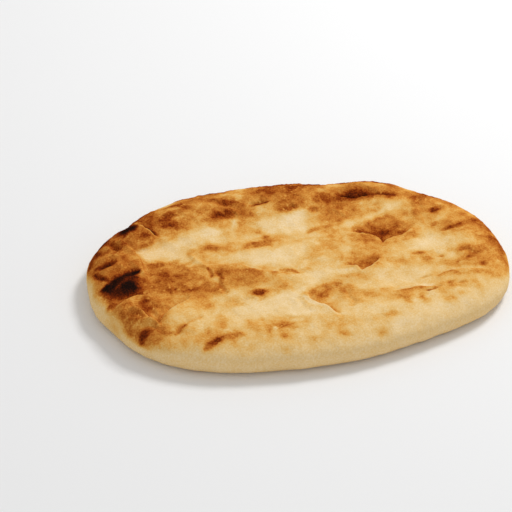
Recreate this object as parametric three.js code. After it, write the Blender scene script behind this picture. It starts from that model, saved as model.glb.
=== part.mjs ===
// A plain oven-baked naan lying flat: one closed piece of flatbread, in millimetres, +Z up.
// The origin is the middle of its footprint on the table, and +X runs along its length.
import * as THREE from "three";

// Driving sizes
const LENGTH = 230;
const WIDTH = 153;
const SQUARENESS = 2.2; // of the outline: 2 is an ellipse, more is squarer
const SKIN_HEIGHT = 15.5; // the top skin away from the rim and the bubbles
const RIM_SWELL = 2.2; // how much higher the rim stands than the middle
const RIM_INSET = 20; // how far in from the edge the rim is highest
const RIM_SPREAD = 13; // half-width of that swelling
const WAIST = 7.5; // height of the widest line round the side
const SHOULDER = 13; // how far in the side takes to round over into the top
const HEEL = 10; // how far in the side takes to tuck under to the flat underside
const EDGE_ROUNDNESS = 2.3; // of the side's section: 2 is an ellipse, more is squarer
const FOLD_SOFTNESS = 1.6; // half-width of the bend where one fold of skin drops to the next
const FOLD_REACH = 8; // how far to each side of a fold the skin is lifted or sunk
const FOLD_TAPER = 0.25; // share of a fold's path over which it runs out at each end
const FOLD_SAMPLES = 40; // points tried along a fold to find the nearest one

// How finely the surface is split
const EDGE_SEGMENTS = 144;
const HEEL_RINGS = 5;
const SHOULDER_RINGS = 8;
const TOP_RINGS = 30;
const UNDERSIDE_RINGS = [
  { reach: 0.15, segments: EDGE_SEGMENTS / 8 },
  { reach: 0.35, segments: EDGE_SEGMENTS / 4 },
  { reach: 0.65, segments: EDGE_SEGMENTS / 2 },
  { reach: 1, segments: EDGE_SEGMENTS },
];
// Rings of the top skin nearer the middle than each reach have that many segments.
const TOP_SEGMENT_STEPS = [
  { reach: 0.13, segments: EDGE_SEGMENTS / 8 },
  { reach: 0.28, segments: EDGE_SEGMENTS / 4 },
  { reach: 0.55, segments: EDGE_SEGMENTS / 2 },
];

// Bulges and pinches of the hand-stretched outline: angle from +X and spread in degrees, push in mm
const OUTLINE_LOBES = [
  { at: 125, spread: 20, push: 4 },
  { at: 141, spread: 6, push: 1.2 },
  { at: 148, spread: 3, push: -0.8 },
  { at: 165, spread: 10, push: 2.6 },
  { at: 194, spread: 9, push: -1.6 },
  { at: 222, spread: 18, push: 2 },
  { at: 308, spread: 18, push: -2.4 },
  { at: 337, spread: 14, push: 4 },
  { at: 26, spread: 17, push: -3 },
  { at: 46, spread: 8, push: 2.8 },
  { at: 65, spread: 10, push: -3 },
];

// Bubbles under the skin (lift above 0) and spots where it sank back (below 0): centre,
// half-length and half-width, and the turn of the length from +X in degrees
const BUBBLES = [
  { x: -100, y: 18, long: 20, wide: 12, turn: 70, lift: 2.2 }, // lobe at the left end
  { x: -84, y: 38, long: 9, wide: 7, turn: -20, lift: 2 }, // knob beside the back rim
  { x: -95, y: -33, long: 13, wide: 9, turn: 115, lift: 2.6 }, // lobe at the front left
  { x: -45, y: 58, long: 28, wide: 10, turn: 10, lift: 2.4 }, // back rim, left half
  { x: 5, y: 62, long: 28, wide: 10, turn: 0, lift: 2.6 }, // back rim, middle
  { x: 50, y: 57, long: 17, wide: 6, turn: -10, lift: 1.8 }, // back rim, right half
  { x: 97, y: 2, long: 26, wide: 11, turn: 90, lift: 0.8 }, // right rim
  { x: -65, y: -4, long: 20, wide: 12, turn: 0, lift: 1 }, // browned patch inside the left lobes
  { x: -70, y: -34, long: 14, wide: 8, turn: 25, lift: 1.4 }, // pale fold before the pocket
  { x: -27, y: -9, long: 22, wide: 8, turn: -15, lift: 1.8 }, // long mound in the middle
  { x: 32, y: 2, long: 17, wide: 11, turn: 10, lift: 1.2 }, // browned patch right of the middle
  { x: -70, y: 24, long: 15, wide: 10, turn: 0, lift: -2.2 }, // pale hollow on the left
  { x: -8, y: 30, long: 42, wide: 13, turn: 0, lift: -1.6 }, // pale hollow behind the middle
  { x: -85, y: -28, long: 9, wide: 6, turn: 110, lift: -2 }, // pocket at the front left
  { x: 9, y: -33, long: 11, wide: 7, turn: 25, lift: -1.8 }, // crescent dent before the middle
  { x: 42, y: -26, long: 28, wide: 7, turn: -5, lift: -1.2 }, // pale trough behind the front rim
  { x: 54, y: 16, long: 13, wide: 8, turn: 12, lift: -1.5 }, // sunken blister on the right
  { x: 48, y: 49, long: 12, wide: 4, turn: 0, lift: -1.5 }, // scorched pocket in the back rim
  { x: 77, y: 3, long: 13, wide: 8, turn: 0, lift: -1 }, // pale hollow inside the right rim
];

// Folds where the skin drops from one level to another: walking along the path, the side on the
// right hand stands this step above the side on the left
const FOLDS = [
  // pocket, front lip
  { step: 3.2, path: [[-85, -41.5], [-79.5, -34], [-75, -30.5], [-69, -25], [-63, -18.5]] },
  // pocket, left lip
  {
    step: 2.6,
    path: [[-98, -24], [-93.6, -27], [-90.6, -31.2], [-88.4, -34.8], [-86.2, -38.4], [-82, -43]],
  },
  // inner edge of the left lobe
  {
    step: 3,
    path: [[-95, 38], [-91, 31.5], [-88, 26.6], [-85.6, 21.6], [-83.6, 16], [-83.5, 6], [-83, -5]],
  },
  // knob against the back rim
  { step: 3, path: [[-83, 51], [-79.3, 46], [-75.6, 40], [-71, 34.5]] },
  // front edge of the knob
  { step: 1.6, path: [[-70.5, 36], [-75.4, 31], [-80, 28.2], [-88, 26]] },
  // front left lobe over the scorched blister
  {
    step: 2.4,
    path: [
      [-108, -22], [-104.5, -20.8], [-100, -18.8], [-94.4, -15.6], [-89.5, -15], [-83, -17], [-79, -20],
    ],
  },
  // sunken blister, left lip
  { step: 2, path: [[33, 19.5], [40, 16], [43.4, 15.3], [46.8, 13.8], [48.8, 10], [48.2, 1.5]] },
  // sunken blister, front lip
  { step: 2, path: [[47.4, 1.5], [51.8, 8], [56.2, 9.6], [61.7, 10.6], [66.5, 14], [71, 19]] },
  // scorched pocket, front lip
  { step: 2.2, path: [[32, 52.5], [39, 49.6], [46, 48.4], [54, 48.2], [68, 45]] },
  // crescent dent, front lip
  {
    step: 2.3,
    path: [[-1, -26.5], [-2, -31.8], [-0.6, -36], [3.1, -40.3], [5.8, -44], [7.5, -49], [10, -58]],
  },
  // front of the right-hand patch
  {
    step: 1.8,
    path: [[21, -11], [26.7, -11.2], [30, -12.2], [31.4, -16.4], [35, -14.5], [41.2, -10], [44.5, -5.5]],
  },
  // back edge of the long mound
  { step: 1.2, path: [[-48, 4], [-34, 4], [-22, -6], [-1, -13]] },
  // back edge of the front rim
  { step: 1.2, path: [[42, -39], [55, -37], [69, -42]] },
  // back edge of the front rim, right
  { step: 0.9, path: [[68, -31], [78, -28.5], [100, -33]] },
];

const BREAD = { color: 0xd6a55c, roughness: 0.8, metalness: 0 };

const bell = (t) => Math.exp(-t * t);

const sampledFolds = FOLDS.map(({ path, step }) => {
  const spline = new THREE.SplineCurve(path.map(([x, y]) => new THREE.Vector2(x, y)));
  const marks = [];
  for (let i = 0; i <= FOLD_SAMPLES; i++) {
    const along = i / FOLD_SAMPLES;
    marks.push({ along, point: spline.getPoint(along), way: spline.getTangent(along) });
  }
  return { marks, step };
});

// Distance from the middle of the bread to its outline: a superellipse plus the lobes.
function outlineRadius(angle) {
  const acrossLength = Math.abs(Math.cos(angle) / (LENGTH / 2)) ** SQUARENESS;
  const acrossWidth = Math.abs(Math.sin(angle) / (WIDTH / 2)) ** SQUARENESS;
  let radius = (acrossLength + acrossWidth) ** (-1 / SQUARENESS);
  const degrees = THREE.MathUtils.radToDeg(angle);
  for (const { at, spread, push } of OUTLINE_LOBES) {
    const away = THREE.MathUtils.euclideanModulo(degrees - at + 180, 360) - 180;
    radius += push * bell(away / spread);
  }
  return radius;
}

// Rise of the skin over one bubble: a bell over an ellipse.
function bubbleLift({ x, y, long, wide, turn, lift }, atX, atY) {
  const away = new THREE.Vector2(atX - x, atY - y);
  away.rotateAround(new THREE.Vector2(), -THREE.MathUtils.degToRad(turn));
  return lift * bell(Math.hypot(away.x / long, away.y / wide));
}

// Rise of the skin beside one fold: half the step up on the right of its path and half down on the
// left, fading away from the path and towards its two ends.
function foldLift({ marks, step }, atX, atY) {
  const here = new THREE.Vector2(atX, atY);
  let nearest = marks[0];
  for (const mark of marks) {
    if (mark.point.distanceToSquared(here) < nearest.point.distanceToSquared(here)) nearest = mark;
  }
  const away = here.clone().sub(nearest.point);
  const rightward = nearest.way.y * away.x - nearest.way.x * away.y;
  const runOut =
    THREE.MathUtils.smoothstep(nearest.along, 0, FOLD_TAPER) *
    THREE.MathUtils.smoothstep(1 - nearest.along, 0, FOLD_TAPER);
  const side = Math.tanh(rightward / FOLD_SOFTNESS);
  return 0.5 * step * runOut * side * bell(away.length() / FOLD_REACH);
}

// Height of the top skin: the swollen rim, the bubbles and the folds together.
function skinHeight(x, y, inset) {
  let height = SKIN_HEIGHT + RIM_SWELL * bell((inset - RIM_INSET) / RIM_SPREAD);
  for (const bubble of BUBBLES) height += bubbleLift(bubble, x, y);
  for (const fold of sampledFolds) height += foldLift(fold, x, y);
  return height;
}

// Section of the side: climbs steeply from 0 at the widest line and levels out at 1.
function roundOver(t) {
  const left = 1 - Math.min(t, 1);
  return (1 - left ** EDGE_ROUNDNESS) ** (1 / EDGE_ROUNDNESS);
}

const undersideHeight = (x, y, inset) => WAIST * (1 - roundOver(inset / HEEL));

const topHeight = (x, y, inset) =>
  WAIST + (skinHeight(x, y, inset) - WAIST) * roundOver(inset / SHOULDER);

// Even steps of an arc, so that the rings crowd where the side is steepest.
const arcStep = (i, count) => 1 - Math.sin((i / count) * (Math.PI / 2));

// The rings of the surface in order, from the middle of the underside out, up the side and back
// over the top to its middle. Each gives its inset from the outline and its height.
function surfaceRings() {
  const rings = [];
  for (const { reach, segments } of UNDERSIDE_RINGS) {
    const insetAt = (radius) => radius - reach * (radius - HEEL);
    rings.push({ segments, insetAt, heightAt: undersideHeight });
  }
  for (let i = 1; i <= HEEL_RINGS; i++) {
    const inset = HEEL * arcStep(i, HEEL_RINGS);
    rings.push({ segments: EDGE_SEGMENTS, insetAt: () => inset, heightAt: undersideHeight });
  }
  for (let i = SHOULDER_RINGS - 1; i >= 0; i--) {
    const inset = SHOULDER * arcStep(i, SHOULDER_RINGS);
    rings.push({ segments: EDGE_SEGMENTS, insetAt: () => inset, heightAt: topHeight });
  }
  for (let i = TOP_RINGS - 1; i >= 1; i--) {
    const reach = i / TOP_RINGS;
    const step = TOP_SEGMENT_STEPS.find((each) => reach < each.reach);
    const insetAt = (radius) => radius - reach * (radius - SHOULDER);
    rings.push({ segments: step ? step.segments : EDGE_SEGMENTS, insetAt, heightAt: topHeight });
  }
  return rings;
}

// Adds a ring's points and gives back the indices of its corners.
function addRing(points, { segments, insetAt, heightAt }) {
  const corners = [];
  for (let i = 0; i < segments; i++) {
    const angle = (2 * Math.PI * i) / segments;
    const radius = outlineRadius(angle);
    const inset = insetAt(radius);
    const x = (radius - inset) * Math.cos(angle);
    const y = (radius - inset) * Math.sin(angle);
    corners.push(points.length / 3);
    points.push(x, y, heightAt(x, y, inset));
  }
  return corners;
}

// Triangles between one ring and the next, which has as many segments, twice as many or half.
function stitch(triangles, lower, upper) {
  const cells = Math.min(lower.length, upper.length);
  const lowerStep = lower.length / cells;
  const upperStep = upper.length / cells;
  for (let i = 0; i < cells; i++) {
    const a = lower[i * lowerStep];
    const b = lower[((i + 1) * lowerStep) % lower.length];
    const c = upper[((i + 1) * upperStep) % upper.length];
    const d = upper[i * upperStep];
    if (lowerStep === 2) {
      const middle = lower[2 * i + 1];
      triangles.push(a, middle, d, middle, c, d, middle, b, c);
    } else if (upperStep === 2) {
      const middle = upper[2 * i + 1];
      triangles.push(a, middle, d, a, b, middle, b, c, middle);
    } else {
      triangles.push(a, b, d, b, c, d);
    }
  }
}

// Fans that close the underside and the top on their middle points.
function closeUnderside(triangles, middle, ring) {
  ring.forEach((corner, i) => triangles.push(middle, ring[(i + 1) % ring.length], corner));
}

function closeTop(triangles, middle, ring) {
  ring.forEach((corner, i) => triangles.push(corner, ring[(i + 1) % ring.length], middle));
}

function breadGeometry() {
  const points = [];
  const triangles = [];
  const rings = surfaceRings().map((ring) => addRing(points, ring));
  rings.slice(1).forEach((ring, i) => stitch(triangles, rings[i], ring));
  const middleInset = outlineRadius(0);
  const undersideMiddle = points.length / 3;
  points.push(0, 0, 0);
  const topMiddle = points.length / 3;
  points.push(0, 0, topHeight(0, 0, middleInset));
  closeUnderside(triangles, undersideMiddle, rings[0]);
  closeTop(triangles, topMiddle, rings[rings.length - 1]);
  const geometry = new THREE.BufferGeometry();
  geometry.setAttribute("position", new THREE.Float32BufferAttribute(points, 3));
  geometry.setIndex(triangles);
  // The lobes push the outline off centre, so its box is set back over the origin.
  geometry.computeBoundingBox();
  const middle = geometry.boundingBox.getCenter(new THREE.Vector3());
  geometry.translate(-middle.x, -middle.y, 0);
  geometry.computeVertexNormals();
  return geometry;
}

const naan = new THREE.Mesh(breadGeometry(), new THREE.MeshStandardMaterial(BREAD));
naan.name = "naan";

const part = new THREE.Group();
part.add(naan);

export default part;
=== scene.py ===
# %% [markdown]
# # A toasted naan
# A naan is one piece of leavened dough, stretched by hand and baked on the stone of a very hot oven. It
# puffs up in seconds, so its skin lifts in blisters, sinks back in folds and browns wherever it stood
# nearest the heat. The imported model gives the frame, the outline and the broad relief. Here the same bread
# is worked out again as one finer surface, with crisper folds, a wrinkled skin and its toast marks.

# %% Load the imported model
import math
from typing import NamedTuple

import bpy
import numpy as np
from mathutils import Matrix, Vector


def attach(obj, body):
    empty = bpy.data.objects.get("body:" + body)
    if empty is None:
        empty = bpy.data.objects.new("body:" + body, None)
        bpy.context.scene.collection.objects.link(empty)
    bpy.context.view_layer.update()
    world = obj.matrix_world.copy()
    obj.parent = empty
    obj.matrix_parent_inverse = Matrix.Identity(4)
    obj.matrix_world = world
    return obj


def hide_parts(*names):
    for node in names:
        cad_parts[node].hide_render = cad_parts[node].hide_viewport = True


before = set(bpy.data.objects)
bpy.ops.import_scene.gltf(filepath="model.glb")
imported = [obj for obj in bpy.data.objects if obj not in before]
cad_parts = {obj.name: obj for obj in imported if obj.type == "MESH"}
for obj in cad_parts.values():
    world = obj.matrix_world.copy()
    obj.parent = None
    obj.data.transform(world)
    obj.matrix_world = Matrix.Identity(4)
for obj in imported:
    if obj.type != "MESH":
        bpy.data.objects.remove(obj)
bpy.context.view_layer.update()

MM = 0.001  # the script works in millimetres and the scene in metres

# %% [markdown]
# ## Uneven dough
# Nothing on a bread is smooth or straight: the skin is dimpled, and every toast mark has a ragged edge.
# Both come from noise that depends only on the place, so that the same bread comes out on each run.
# Gradient noise is used because it has no visible grid, and scattered domes give the small round blisters
# of a scorched skin.

# %% Noise
CORNER_FACTORS = np.array([374761393, 668265263, 1440662683])
SEED_FACTOR, MIX_FACTOR = 974634269, 1274126177
LOW_BITS = 0xFFFFFFFF  # keeps a mixed number to 32 bits
NOISE_GAIN = 1.5  # brings the blended heights to about -1 to 1


def bell(t):
    """1 at t = 0, falling off on both sides as exp(-t^2)."""
    return np.exp(-t * t)


def smoothstep(low, high, t):
    """0 at low and 1 at high, level beyond them, with the curve 3u^2 - 2u^3 between; it falls if low is the
    larger."""
    u = np.clip((t - low) / (high - low), 0, 1)
    return u * u * (3 - 2 * u)


def corner_numbers(corner, seed):
    """Three numbers from -1 to 1 for each lattice corner: its whole-number place, mixed by large factors,
    gives 30 bits, ten for each number."""
    mixed = (corner @ CORNER_FACTORS + seed * SEED_FACTOR) & LOW_BITS
    mixed = ((mixed ^ (mixed >> 13)) * MIX_FACTOR) & LOW_BITS
    mixed ^= mixed >> 16
    return ((mixed[:, None] >> np.array([0, 10, 20])) & 1023) / 511.5 - 1


def noise(points, size, seed):
    """Gradient noise, about -1 to 1: each corner of a lattice of this size has a random slope, and a point
    blends the heights on the eight slopes round it with the weights 6t^5 - 15t^4 + 10t^3."""
    cell = np.floor(points / size).astype(np.int64)
    t = points / size - cell
    blend = t * t * t * (t * (6 * t - 15) + 10)
    total = np.zeros(len(points))
    for corner in np.ndindex(2, 2, 2):
        weight = np.prod(np.where(corner, blend, 1 - blend), axis=1)
        total += weight * np.sum(corner_numbers(cell + corner, seed) * (t - corner), axis=1)
    return NOISE_GAIN * total


def layered_noise(points, layers):
    """Sum of strength * noise over layers of strength, size and seed."""
    return sum(strength * noise(points, size, seed) for strength, size, seed in layers)


sample_line = np.linspace((0, 0, 0), (200, 100, 20), 2000)
sample_noise = noise(sample_line, size=5, seed=1)
print("noise along a line, least and most:", round(sample_noise.min(), 2), round(sample_noise.max(), 2))

# %% Domes
DOME_LEAST, DOME_VARIES = 0.15, 0.35  # a dome's radius, as shares of its square


def domes(points, size, seed):
    """Scattered round bumps, 0 to 1: each square of this size in plan holds one at a random place with a
    random radius, and its height is the positive part of 1 - (distance / radius)^2."""
    square = np.floor(points[:, :2] / size).astype(np.int64)
    height = np.zeros(len(points))
    for step in np.ndindex(3, 3):
        corner = np.column_stack([square + step - 1, np.zeros(len(points), np.int64)])
        chance = 0.5 + 0.5 * corner_numbers(corner, seed)
        away = points[:, :2] - (corner[:, :2] + chance[:, :2]) * size
        radius = size * (DOME_LEAST + DOME_VARIES * chance[:, 2])
        height = np.maximum(height, 1 - np.hypot(away[:, 0], away[:, 1]) ** 2 / radius**2)
    return height


sample_domes = domes(sample_line, size=5, seed=1)
print("share of a line that lies on a dome:", round(np.mean(sample_domes > 0), 2))

# %% [markdown]
# ## Outline
# The dough was pulled long by hand, so seen from above it is an oval with slight corners, bulging here and
# pinched there. It could be traced point by point, but a superellipse gives the oval in one formula, and a
# bell-shaped push at some angles gives each bulge and pinch.

# %% Outline
LENGTH, WIDTH = 230, 153
SQUARENESS = 2.2  # 2 is an ellipse, more is squarer
# Angle from +X and spread in degrees, push in mm
OUTLINE_LOBES = [
    (125, 20, 4), (141, 6, 1.2), (148, 3, -0.8), (165, 10, 2.6), (194, 9, -1.6), (222, 18, 2),
    (308, 18, -2.4), (337, 14, 4), (26, 17, -3), (46, 8, 2.8), (65, 10, -3),
]


def outline_radius(angle):
    """Distance from the middle to the outline: (|cos / half length|^n + |sin / half width|^n)^(-1/n), plus
    push * bell(degrees away / spread) for each lobe."""
    across_length = np.abs(np.cos(angle) / (LENGTH / 2)) ** SQUARENESS
    across_width = np.abs(np.sin(angle) / (WIDTH / 2)) ** SQUARENESS
    radius = (across_length + across_width) ** (-1 / SQUARENESS)
    for at, spread, push in OUTLINE_LOBES:
        away = (np.degrees(angle) - at + 180) % 360 - 180
        radius = radius + push * bell(away / spread)
    return radius


round_the_bread = outline_radius(np.linspace(0, 2 * math.pi, 720))
print("nearest and farthest outline, mm:", round(round_the_bread.min(), 1), round(round_the_bread.max(), 1))

# %% [markdown]
# ## Rings
# The surface is one sheet of rings, from the middle of the underside out, up the round side and back over
# the top to its middle. A square grid would leave steps at the outline; rings follow it. Rings near a
# middle have fewer points, so that the triangles stay about the same size all over. Every ring is only a
# list of plan places here; the heights follow from the relief.

# %% Rings of the surface
SHOULDER = 13  # how far in the side takes to round over into the top
HEEL = 10  # how far in the side takes to tuck under
EDGE_SEGMENTS = 736
TOP_RINGS, SHOULDER_RINGS, HEEL_RINGS, UNDERSIDE_RINGS = 136, 22, 12, 30
FIRST_HALVING, MOST_HALVINGS = 0.49, 4  # reach where the points first halve, and how often they may
UNDERSIDE, TOP = 0, 1


class Ring(NamedTuple):
    segments: int
    inset: float  # from the outline, where the reach is 1
    reach: float  # share of the way from the middle out to that inset
    side: int


def segments_at(reach, most):
    """Half as many segments below the first halving, and again each time the reach halves from there."""
    halvings = math.floor(math.log2(2 * FIRST_HALVING / reach))
    return most >> min(max(halvings, 0), MOST_HALVINGS)


def arc_steps(count):
    """Shares 1 - sin of even angles, which crowd where a round side is steepest."""
    return 1 - np.sin(np.arange(count + 1) / count * math.pi / 2)


half_segments = EDGE_SEGMENTS // 2
rings = [
    Ring(segments_at(i / UNDERSIDE_RINGS, half_segments), HEEL, i / UNDERSIDE_RINGS, UNDERSIDE)
    for i in range(1, UNDERSIDE_RINGS + 1)
]
rings += [Ring(EDGE_SEGMENTS, HEEL * share, 1, UNDERSIDE) for share in arc_steps(HEEL_RINGS)[1:]]
rings += [Ring(EDGE_SEGMENTS, SHOULDER * share, 1, TOP) for share in arc_steps(SHOULDER_RINGS)[-2::-1]]
rings += [
    Ring(segments_at(i / TOP_RINGS, EDGE_SEGMENTS), SHOULDER, i / TOP_RINGS, TOP)
    for i in range(TOP_RINGS - 1, 0, -1)
]


def ring_columns(ring):
    """Plan x and y, inset from the outline and side for each point of a ring."""
    angle = 2 * math.pi * np.arange(ring.segments) / ring.segments
    radius = outline_radius(angle)
    inset = ring.inset + (1 - ring.reach) * (radius - ring.inset)
    out = radius - inset
    side = np.full(ring.segments, ring.side)
    return np.column_stack([out * np.cos(angle), out * np.sin(angle), inset, side])


middle_inset = outline_radius(np.zeros(1))[0]
columns = [ring_columns(ring) for ring in rings]
columns.append(np.array([[0, 0, middle_inset, UNDERSIDE], [0, 0, middle_inset, TOP]]))
plan_x, plan_y, inset, side = np.concatenate(columns).T
on_top = side == TOP
print(len(rings), "rings,", len(plan_x), "points")

# %% [markdown]
# ## Triangles
# Neighbouring rings are sewn together with triangles, which only name the points by number. Where one ring
# has twice as many points as the next, three triangles fill a cell instead of two, so no crack is left. A
# fan round each middle point closes the skin.

# %% Triangles between the rings
def stitch(lower, upper):
    """Triangles between two rings of point numbers: two in each cell, or three where one ring has twice as
    many."""
    cells = min(len(lower), len(upper))
    a, d = lower[:: len(lower) // cells], upper[:: len(upper) // cells]
    b, c = np.roll(a, -1), np.roll(d, -1)
    if len(lower) > cells:
        m = lower[1::2]
        return np.concatenate([np.column_stack(t) for t in ((a, m, d), (m, c, d), (m, b, c))])
    if len(upper) > cells:
        m = upper[1::2]
        return np.concatenate([np.column_stack(t) for t in ((a, m, d), (a, b, m), (b, c, m))])
    return np.concatenate([np.column_stack(t) for t in ((a, b, d), (b, c, d))])


ends = np.cumsum([ring.segments for ring in rings])
numbers = np.split(np.arange(ends[-1]), ends[:-1])
first, last = numbers[0], numbers[-1]
underside_middle, top_middle = ends[-1], ends[-1] + 1
triangles = [stitch(lower, upper) for lower, upper in zip(numbers, numbers[1:])]
triangles.append(np.column_stack([np.full_like(first, underside_middle), np.roll(first, -1), first]))
triangles.append(np.column_stack([last, np.roll(last, -1), np.full_like(last, top_middle)]))
triangles = np.concatenate(triangles)
print(len(triangles), "triangles")

# %% [markdown]
# ## Bubbles and hollows
# Steam lifts the skin in bubbles, and where it escaped the skin sank back. The rim stays fullest, because
# the middle was pressed thin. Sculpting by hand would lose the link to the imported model, so each bubble or
# hollow is a bell over a turned ellipse, with the same numbers as there.

# %% Bubbles and hollows
SKIN_HEIGHT = 15.5
RIM_SWELL, RIM_INSET, RIM_SPREAD = 2.2, 20, 13
# Centre x, y, half-length, half-width, turn in degrees, lift
BUBBLES = [
    (-100, 18, 20, 12, 70, 2.2),  # lobe at the left end
    (-84, 38, 9, 7, -20, 2),  # knob beside the back rim
    (-95, -33, 13, 9, 115, 2.6),  # lobe at the front left
    (-45, 58, 28, 10, 10, 2.4),  # back rim, left half
    (5, 62, 28, 10, 0, 2.6),  # back rim, middle
    (50, 57, 17, 6, -10, 1.8),  # back rim, right half
    (97, 2, 26, 11, 90, 0.8),  # right rim
    (-65, -4, 20, 12, 0, 1),  # browned patch inside the left lobes
    (-70, -34, 14, 8, 25, 1.4),  # pale fold before the pocket
    (-27, -9, 22, 8, -15, 1.8),  # long mound in the middle
    (32, 2, 17, 11, 10, 1.2),  # browned patch right of the middle
    (-70, 24, 15, 10, 0, -2.2),  # pale hollow on the left
    (-8, 30, 42, 13, 0, -1.6),  # pale hollow behind the middle
    (-85, -28, 9, 6, 110, -2),  # pocket at the front left
    (9, -33, 11, 7, 25, -1.8),  # crescent dent before the middle
    (42, -26, 28, 7, -5, -1.2),  # pale trough behind the front rim
    (54, 16, 13, 8, 12, -1.5),  # sunken blister on the right
    (48, 49, 12, 4, 0, -1.5),  # scorched pocket in the back rim
    (77, 3, 13, 8, 0, -1),  # pale hollow inside the right rim
]


def ellipse_distance(x, y, centre_x, centre_y, long, wide, turn):
    """Distance from a centre in units of a turned ellipse's half-length and half-width, so 1 is on the
    ellipse."""
    c, s = math.cos(math.radians(turn)), math.sin(math.radians(turn))
    dx, dy = x - centre_x, y - centre_y
    return np.hypot((c * dx + s * dy) / long, (c * dy - s * dx) / wide)


skin = SKIN_HEIGHT + RIM_SWELL * bell((inset - RIM_INSET) / RIM_SPREAD)
for centre_x, centre_y, long, wide, turn, lift in BUBBLES:
    skin = skin + lift * bell(ellipse_distance(plan_x, plan_y, centre_x, centre_y, long, wide, turn))
print("skin without folds, mm:", round(skin[on_top].min(), 1), "to", round(skin[on_top].max(), 1))

# %% [markdown]
# ## Folds
# Where a bubble burst, its skin lies in a fold: one side stands a step above the other and ends in a
# rounded lip. A fold follows a smooth path. The step is a steep tanh across it that fades away from the
# path and runs out at both ends; a low crest along the lip and a groove at its foot make it crisp. The
# paths waver by a little noise, as torn dough does.

# %% Paths over the skin
PATH_SAMPLES = 48


def smooth_path(corners, samples):
    """Points along a curve through the corners: Catmull-Rom, whose slope at a corner is half the way from
    the corner before it to the corner after it."""
    corners = np.array(corners, float)
    padded = np.vstack([corners[:1], corners, corners[-1:]])
    at = np.linspace(0, len(corners) - 1, samples)
    leg = np.minimum(at.astype(int), len(corners) - 2)
    t = (at - leg)[:, None]
    before, start, end, after = (padded[leg + k] for k in range(4))
    slope_start, slope_end = (end - before) / 2, (after - start) / 2
    return (
        start * (2 * t**3 - 3 * t**2 + 1) + slope_start * (t**3 - 2 * t**2 + t)
        + end * (3 * t**2 - 2 * t**3) + slope_end * (t**3 - t**2)
    )


def along_path(x, y, corners):
    """For each place: its distance from the path, how far it lies to the right of it, and the share of the
    path at which it is nearest."""
    points = smooth_path(corners, PATH_SAMPLES)
    start, leg = points[:-1], np.diff(points, axis=0)
    dx, dy = x[:, None] - start[:, 0], y[:, None] - start[:, 1]
    t = np.clip((dx * leg[:, 0] + dy * leg[:, 1]) / np.sum(leg**2, axis=1), 0, 1)
    off_x, off_y = dx - t * leg[:, 0], dy - t * leg[:, 1]
    nearest = np.argmin(off_x**2 + off_y**2, axis=1)
    row = np.arange(len(x))
    off_x, off_y, t = off_x[row, nearest], off_y[row, nearest], t[row, nearest]
    way = leg[nearest] / np.linalg.norm(leg[nearest], axis=1)[:, None]
    return np.hypot(off_x, off_y), way[:, 1] * off_x - way[:, 0] * off_y, (nearest + t) / len(leg)


def near_path(corners, margin):
    """Numbers of the top's points within a margin of the box round a path."""
    low, high = np.min(corners, axis=0) - margin, np.max(corners, axis=0) + margin
    inside = (plan_x > low[0]) & (plan_x < high[0]) & (plan_y > low[1]) & (plan_y < high[1])
    return np.flatnonzero(inside & on_top)


print("points in the middle square centimetre of the top:", len(near_path([(0, 0)], 5)))

# %% Fold list
class Fold(NamedTuple):
    path: list
    step: float  # the right-hand side of the path stands this much above the left
    softness: float  # half-width of the bend across the fold
    # groove_shade: toast level at the foot of the step, partly the bubble's toast and partly painted crease
    # shade
    groove_shade: float  # toast at the foot of the step, on the left
    lip: float  # toast of the lip, on the right


FOLDS = [
    # Pocket, front lip
    Fold([(-85, -41.5), (-79.5, -34), (-75, -30.5), (-69, -25), (-63, -18.5)], 3.2, 0.7, 0.68, 0.26),
    # Pocket, left lip
    Fold(
        [(-98, -24), (-93.6, -27), (-90.6, -31.2), (-88.4, -34.8), (-86.2, -38.4), (-82, -43)],
        2.6, 0.8, 0.84, 0.32,
    ),
    # Inner edge of the left lobe
    Fold(
        [(-95, 38), (-91, 31.5), (-88, 26.6), (-85.6, 21.6), (-83.6, 16), (-83.5, 6), (-83, -5)],
        3, 0.9, 0.5, 0.64,
    ),
    # Knob against the back rim
    Fold([(-83, 51), (-79.3, 46), (-75.6, 40), (-71, 34.5)], 3, 0.7, 1, 0.26),
    # Front edge of the knob
    Fold([(-70.5, 36), (-75.4, 31), (-80, 28.2), (-88, 26)], 1.6, 1, 0.16, 0.74),
    # Front left lobe over the char blister
    Fold(
        [(-108, -22), (-104.5, -20.8), (-100, -18.8), (-94.4, -15.6), (-89.5, -15), (-83, -17), (-79, -20)],
        2.4, 0.8, 0.92, 0.42,
    ),
    # Sunken blister, left lip
    Fold([(33, 19.5), (40, 16), (43.4, 15.3), (46.8, 13.8), (48.8, 10), (48.2, 1.5)], 2, 0.7, 0.92, 0.56),
    # Sunken blister, front lip
    Fold([(47.4, 1.5), (51.8, 8), (56.2, 9.6), (61.7, 10.6), (66.5, 14), (71, 19)], 2, 0.8, 0.8, 0.32),
    # Scorched pocket, front lip
    Fold([(32, 52.5), (39, 49.6), (46, 48.4), (54, 48.2), (68, 45)], 2.2, 0.8, 1.06, 0.78),
    # Crescent dent, front lip
    Fold(
        [(-1, -26.5), (-2, -31.8), (-0.6, -36), (3.1, -40.3), (5.8, -44), (7.5, -49), (10, -58)],
        2.3, 0.9, 0.66, 0.12,
    ),
    # Front of the right-hand patch
    Fold(
        [(21, -11), (26.7, -11.2), (30, -12.2), (31.4, -16.4), (35, -14.5), (41.2, -10), (44.5, -5.5)],
        1.8, 0.7, 0.72, 0.12,
    ),
    # Back edge of the long mound
    Fold([(-48, 4), (-34, 4), (-22, -6), (-1, -13)], 1.2, 1.8, 0.28, 0.56),
    # Back edge of the front rim
    Fold([(42, -39), (55, -37), (69, -42)], 1.2, 1.2, 0.1, 0.36),
    # Back edge of the front rim, right
    Fold([(68, -31), (78, -28.5), (100, -33)], 0.9, 1.2, 0.2, 0.44),
]
print(len(FOLDS), "folds")

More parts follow.
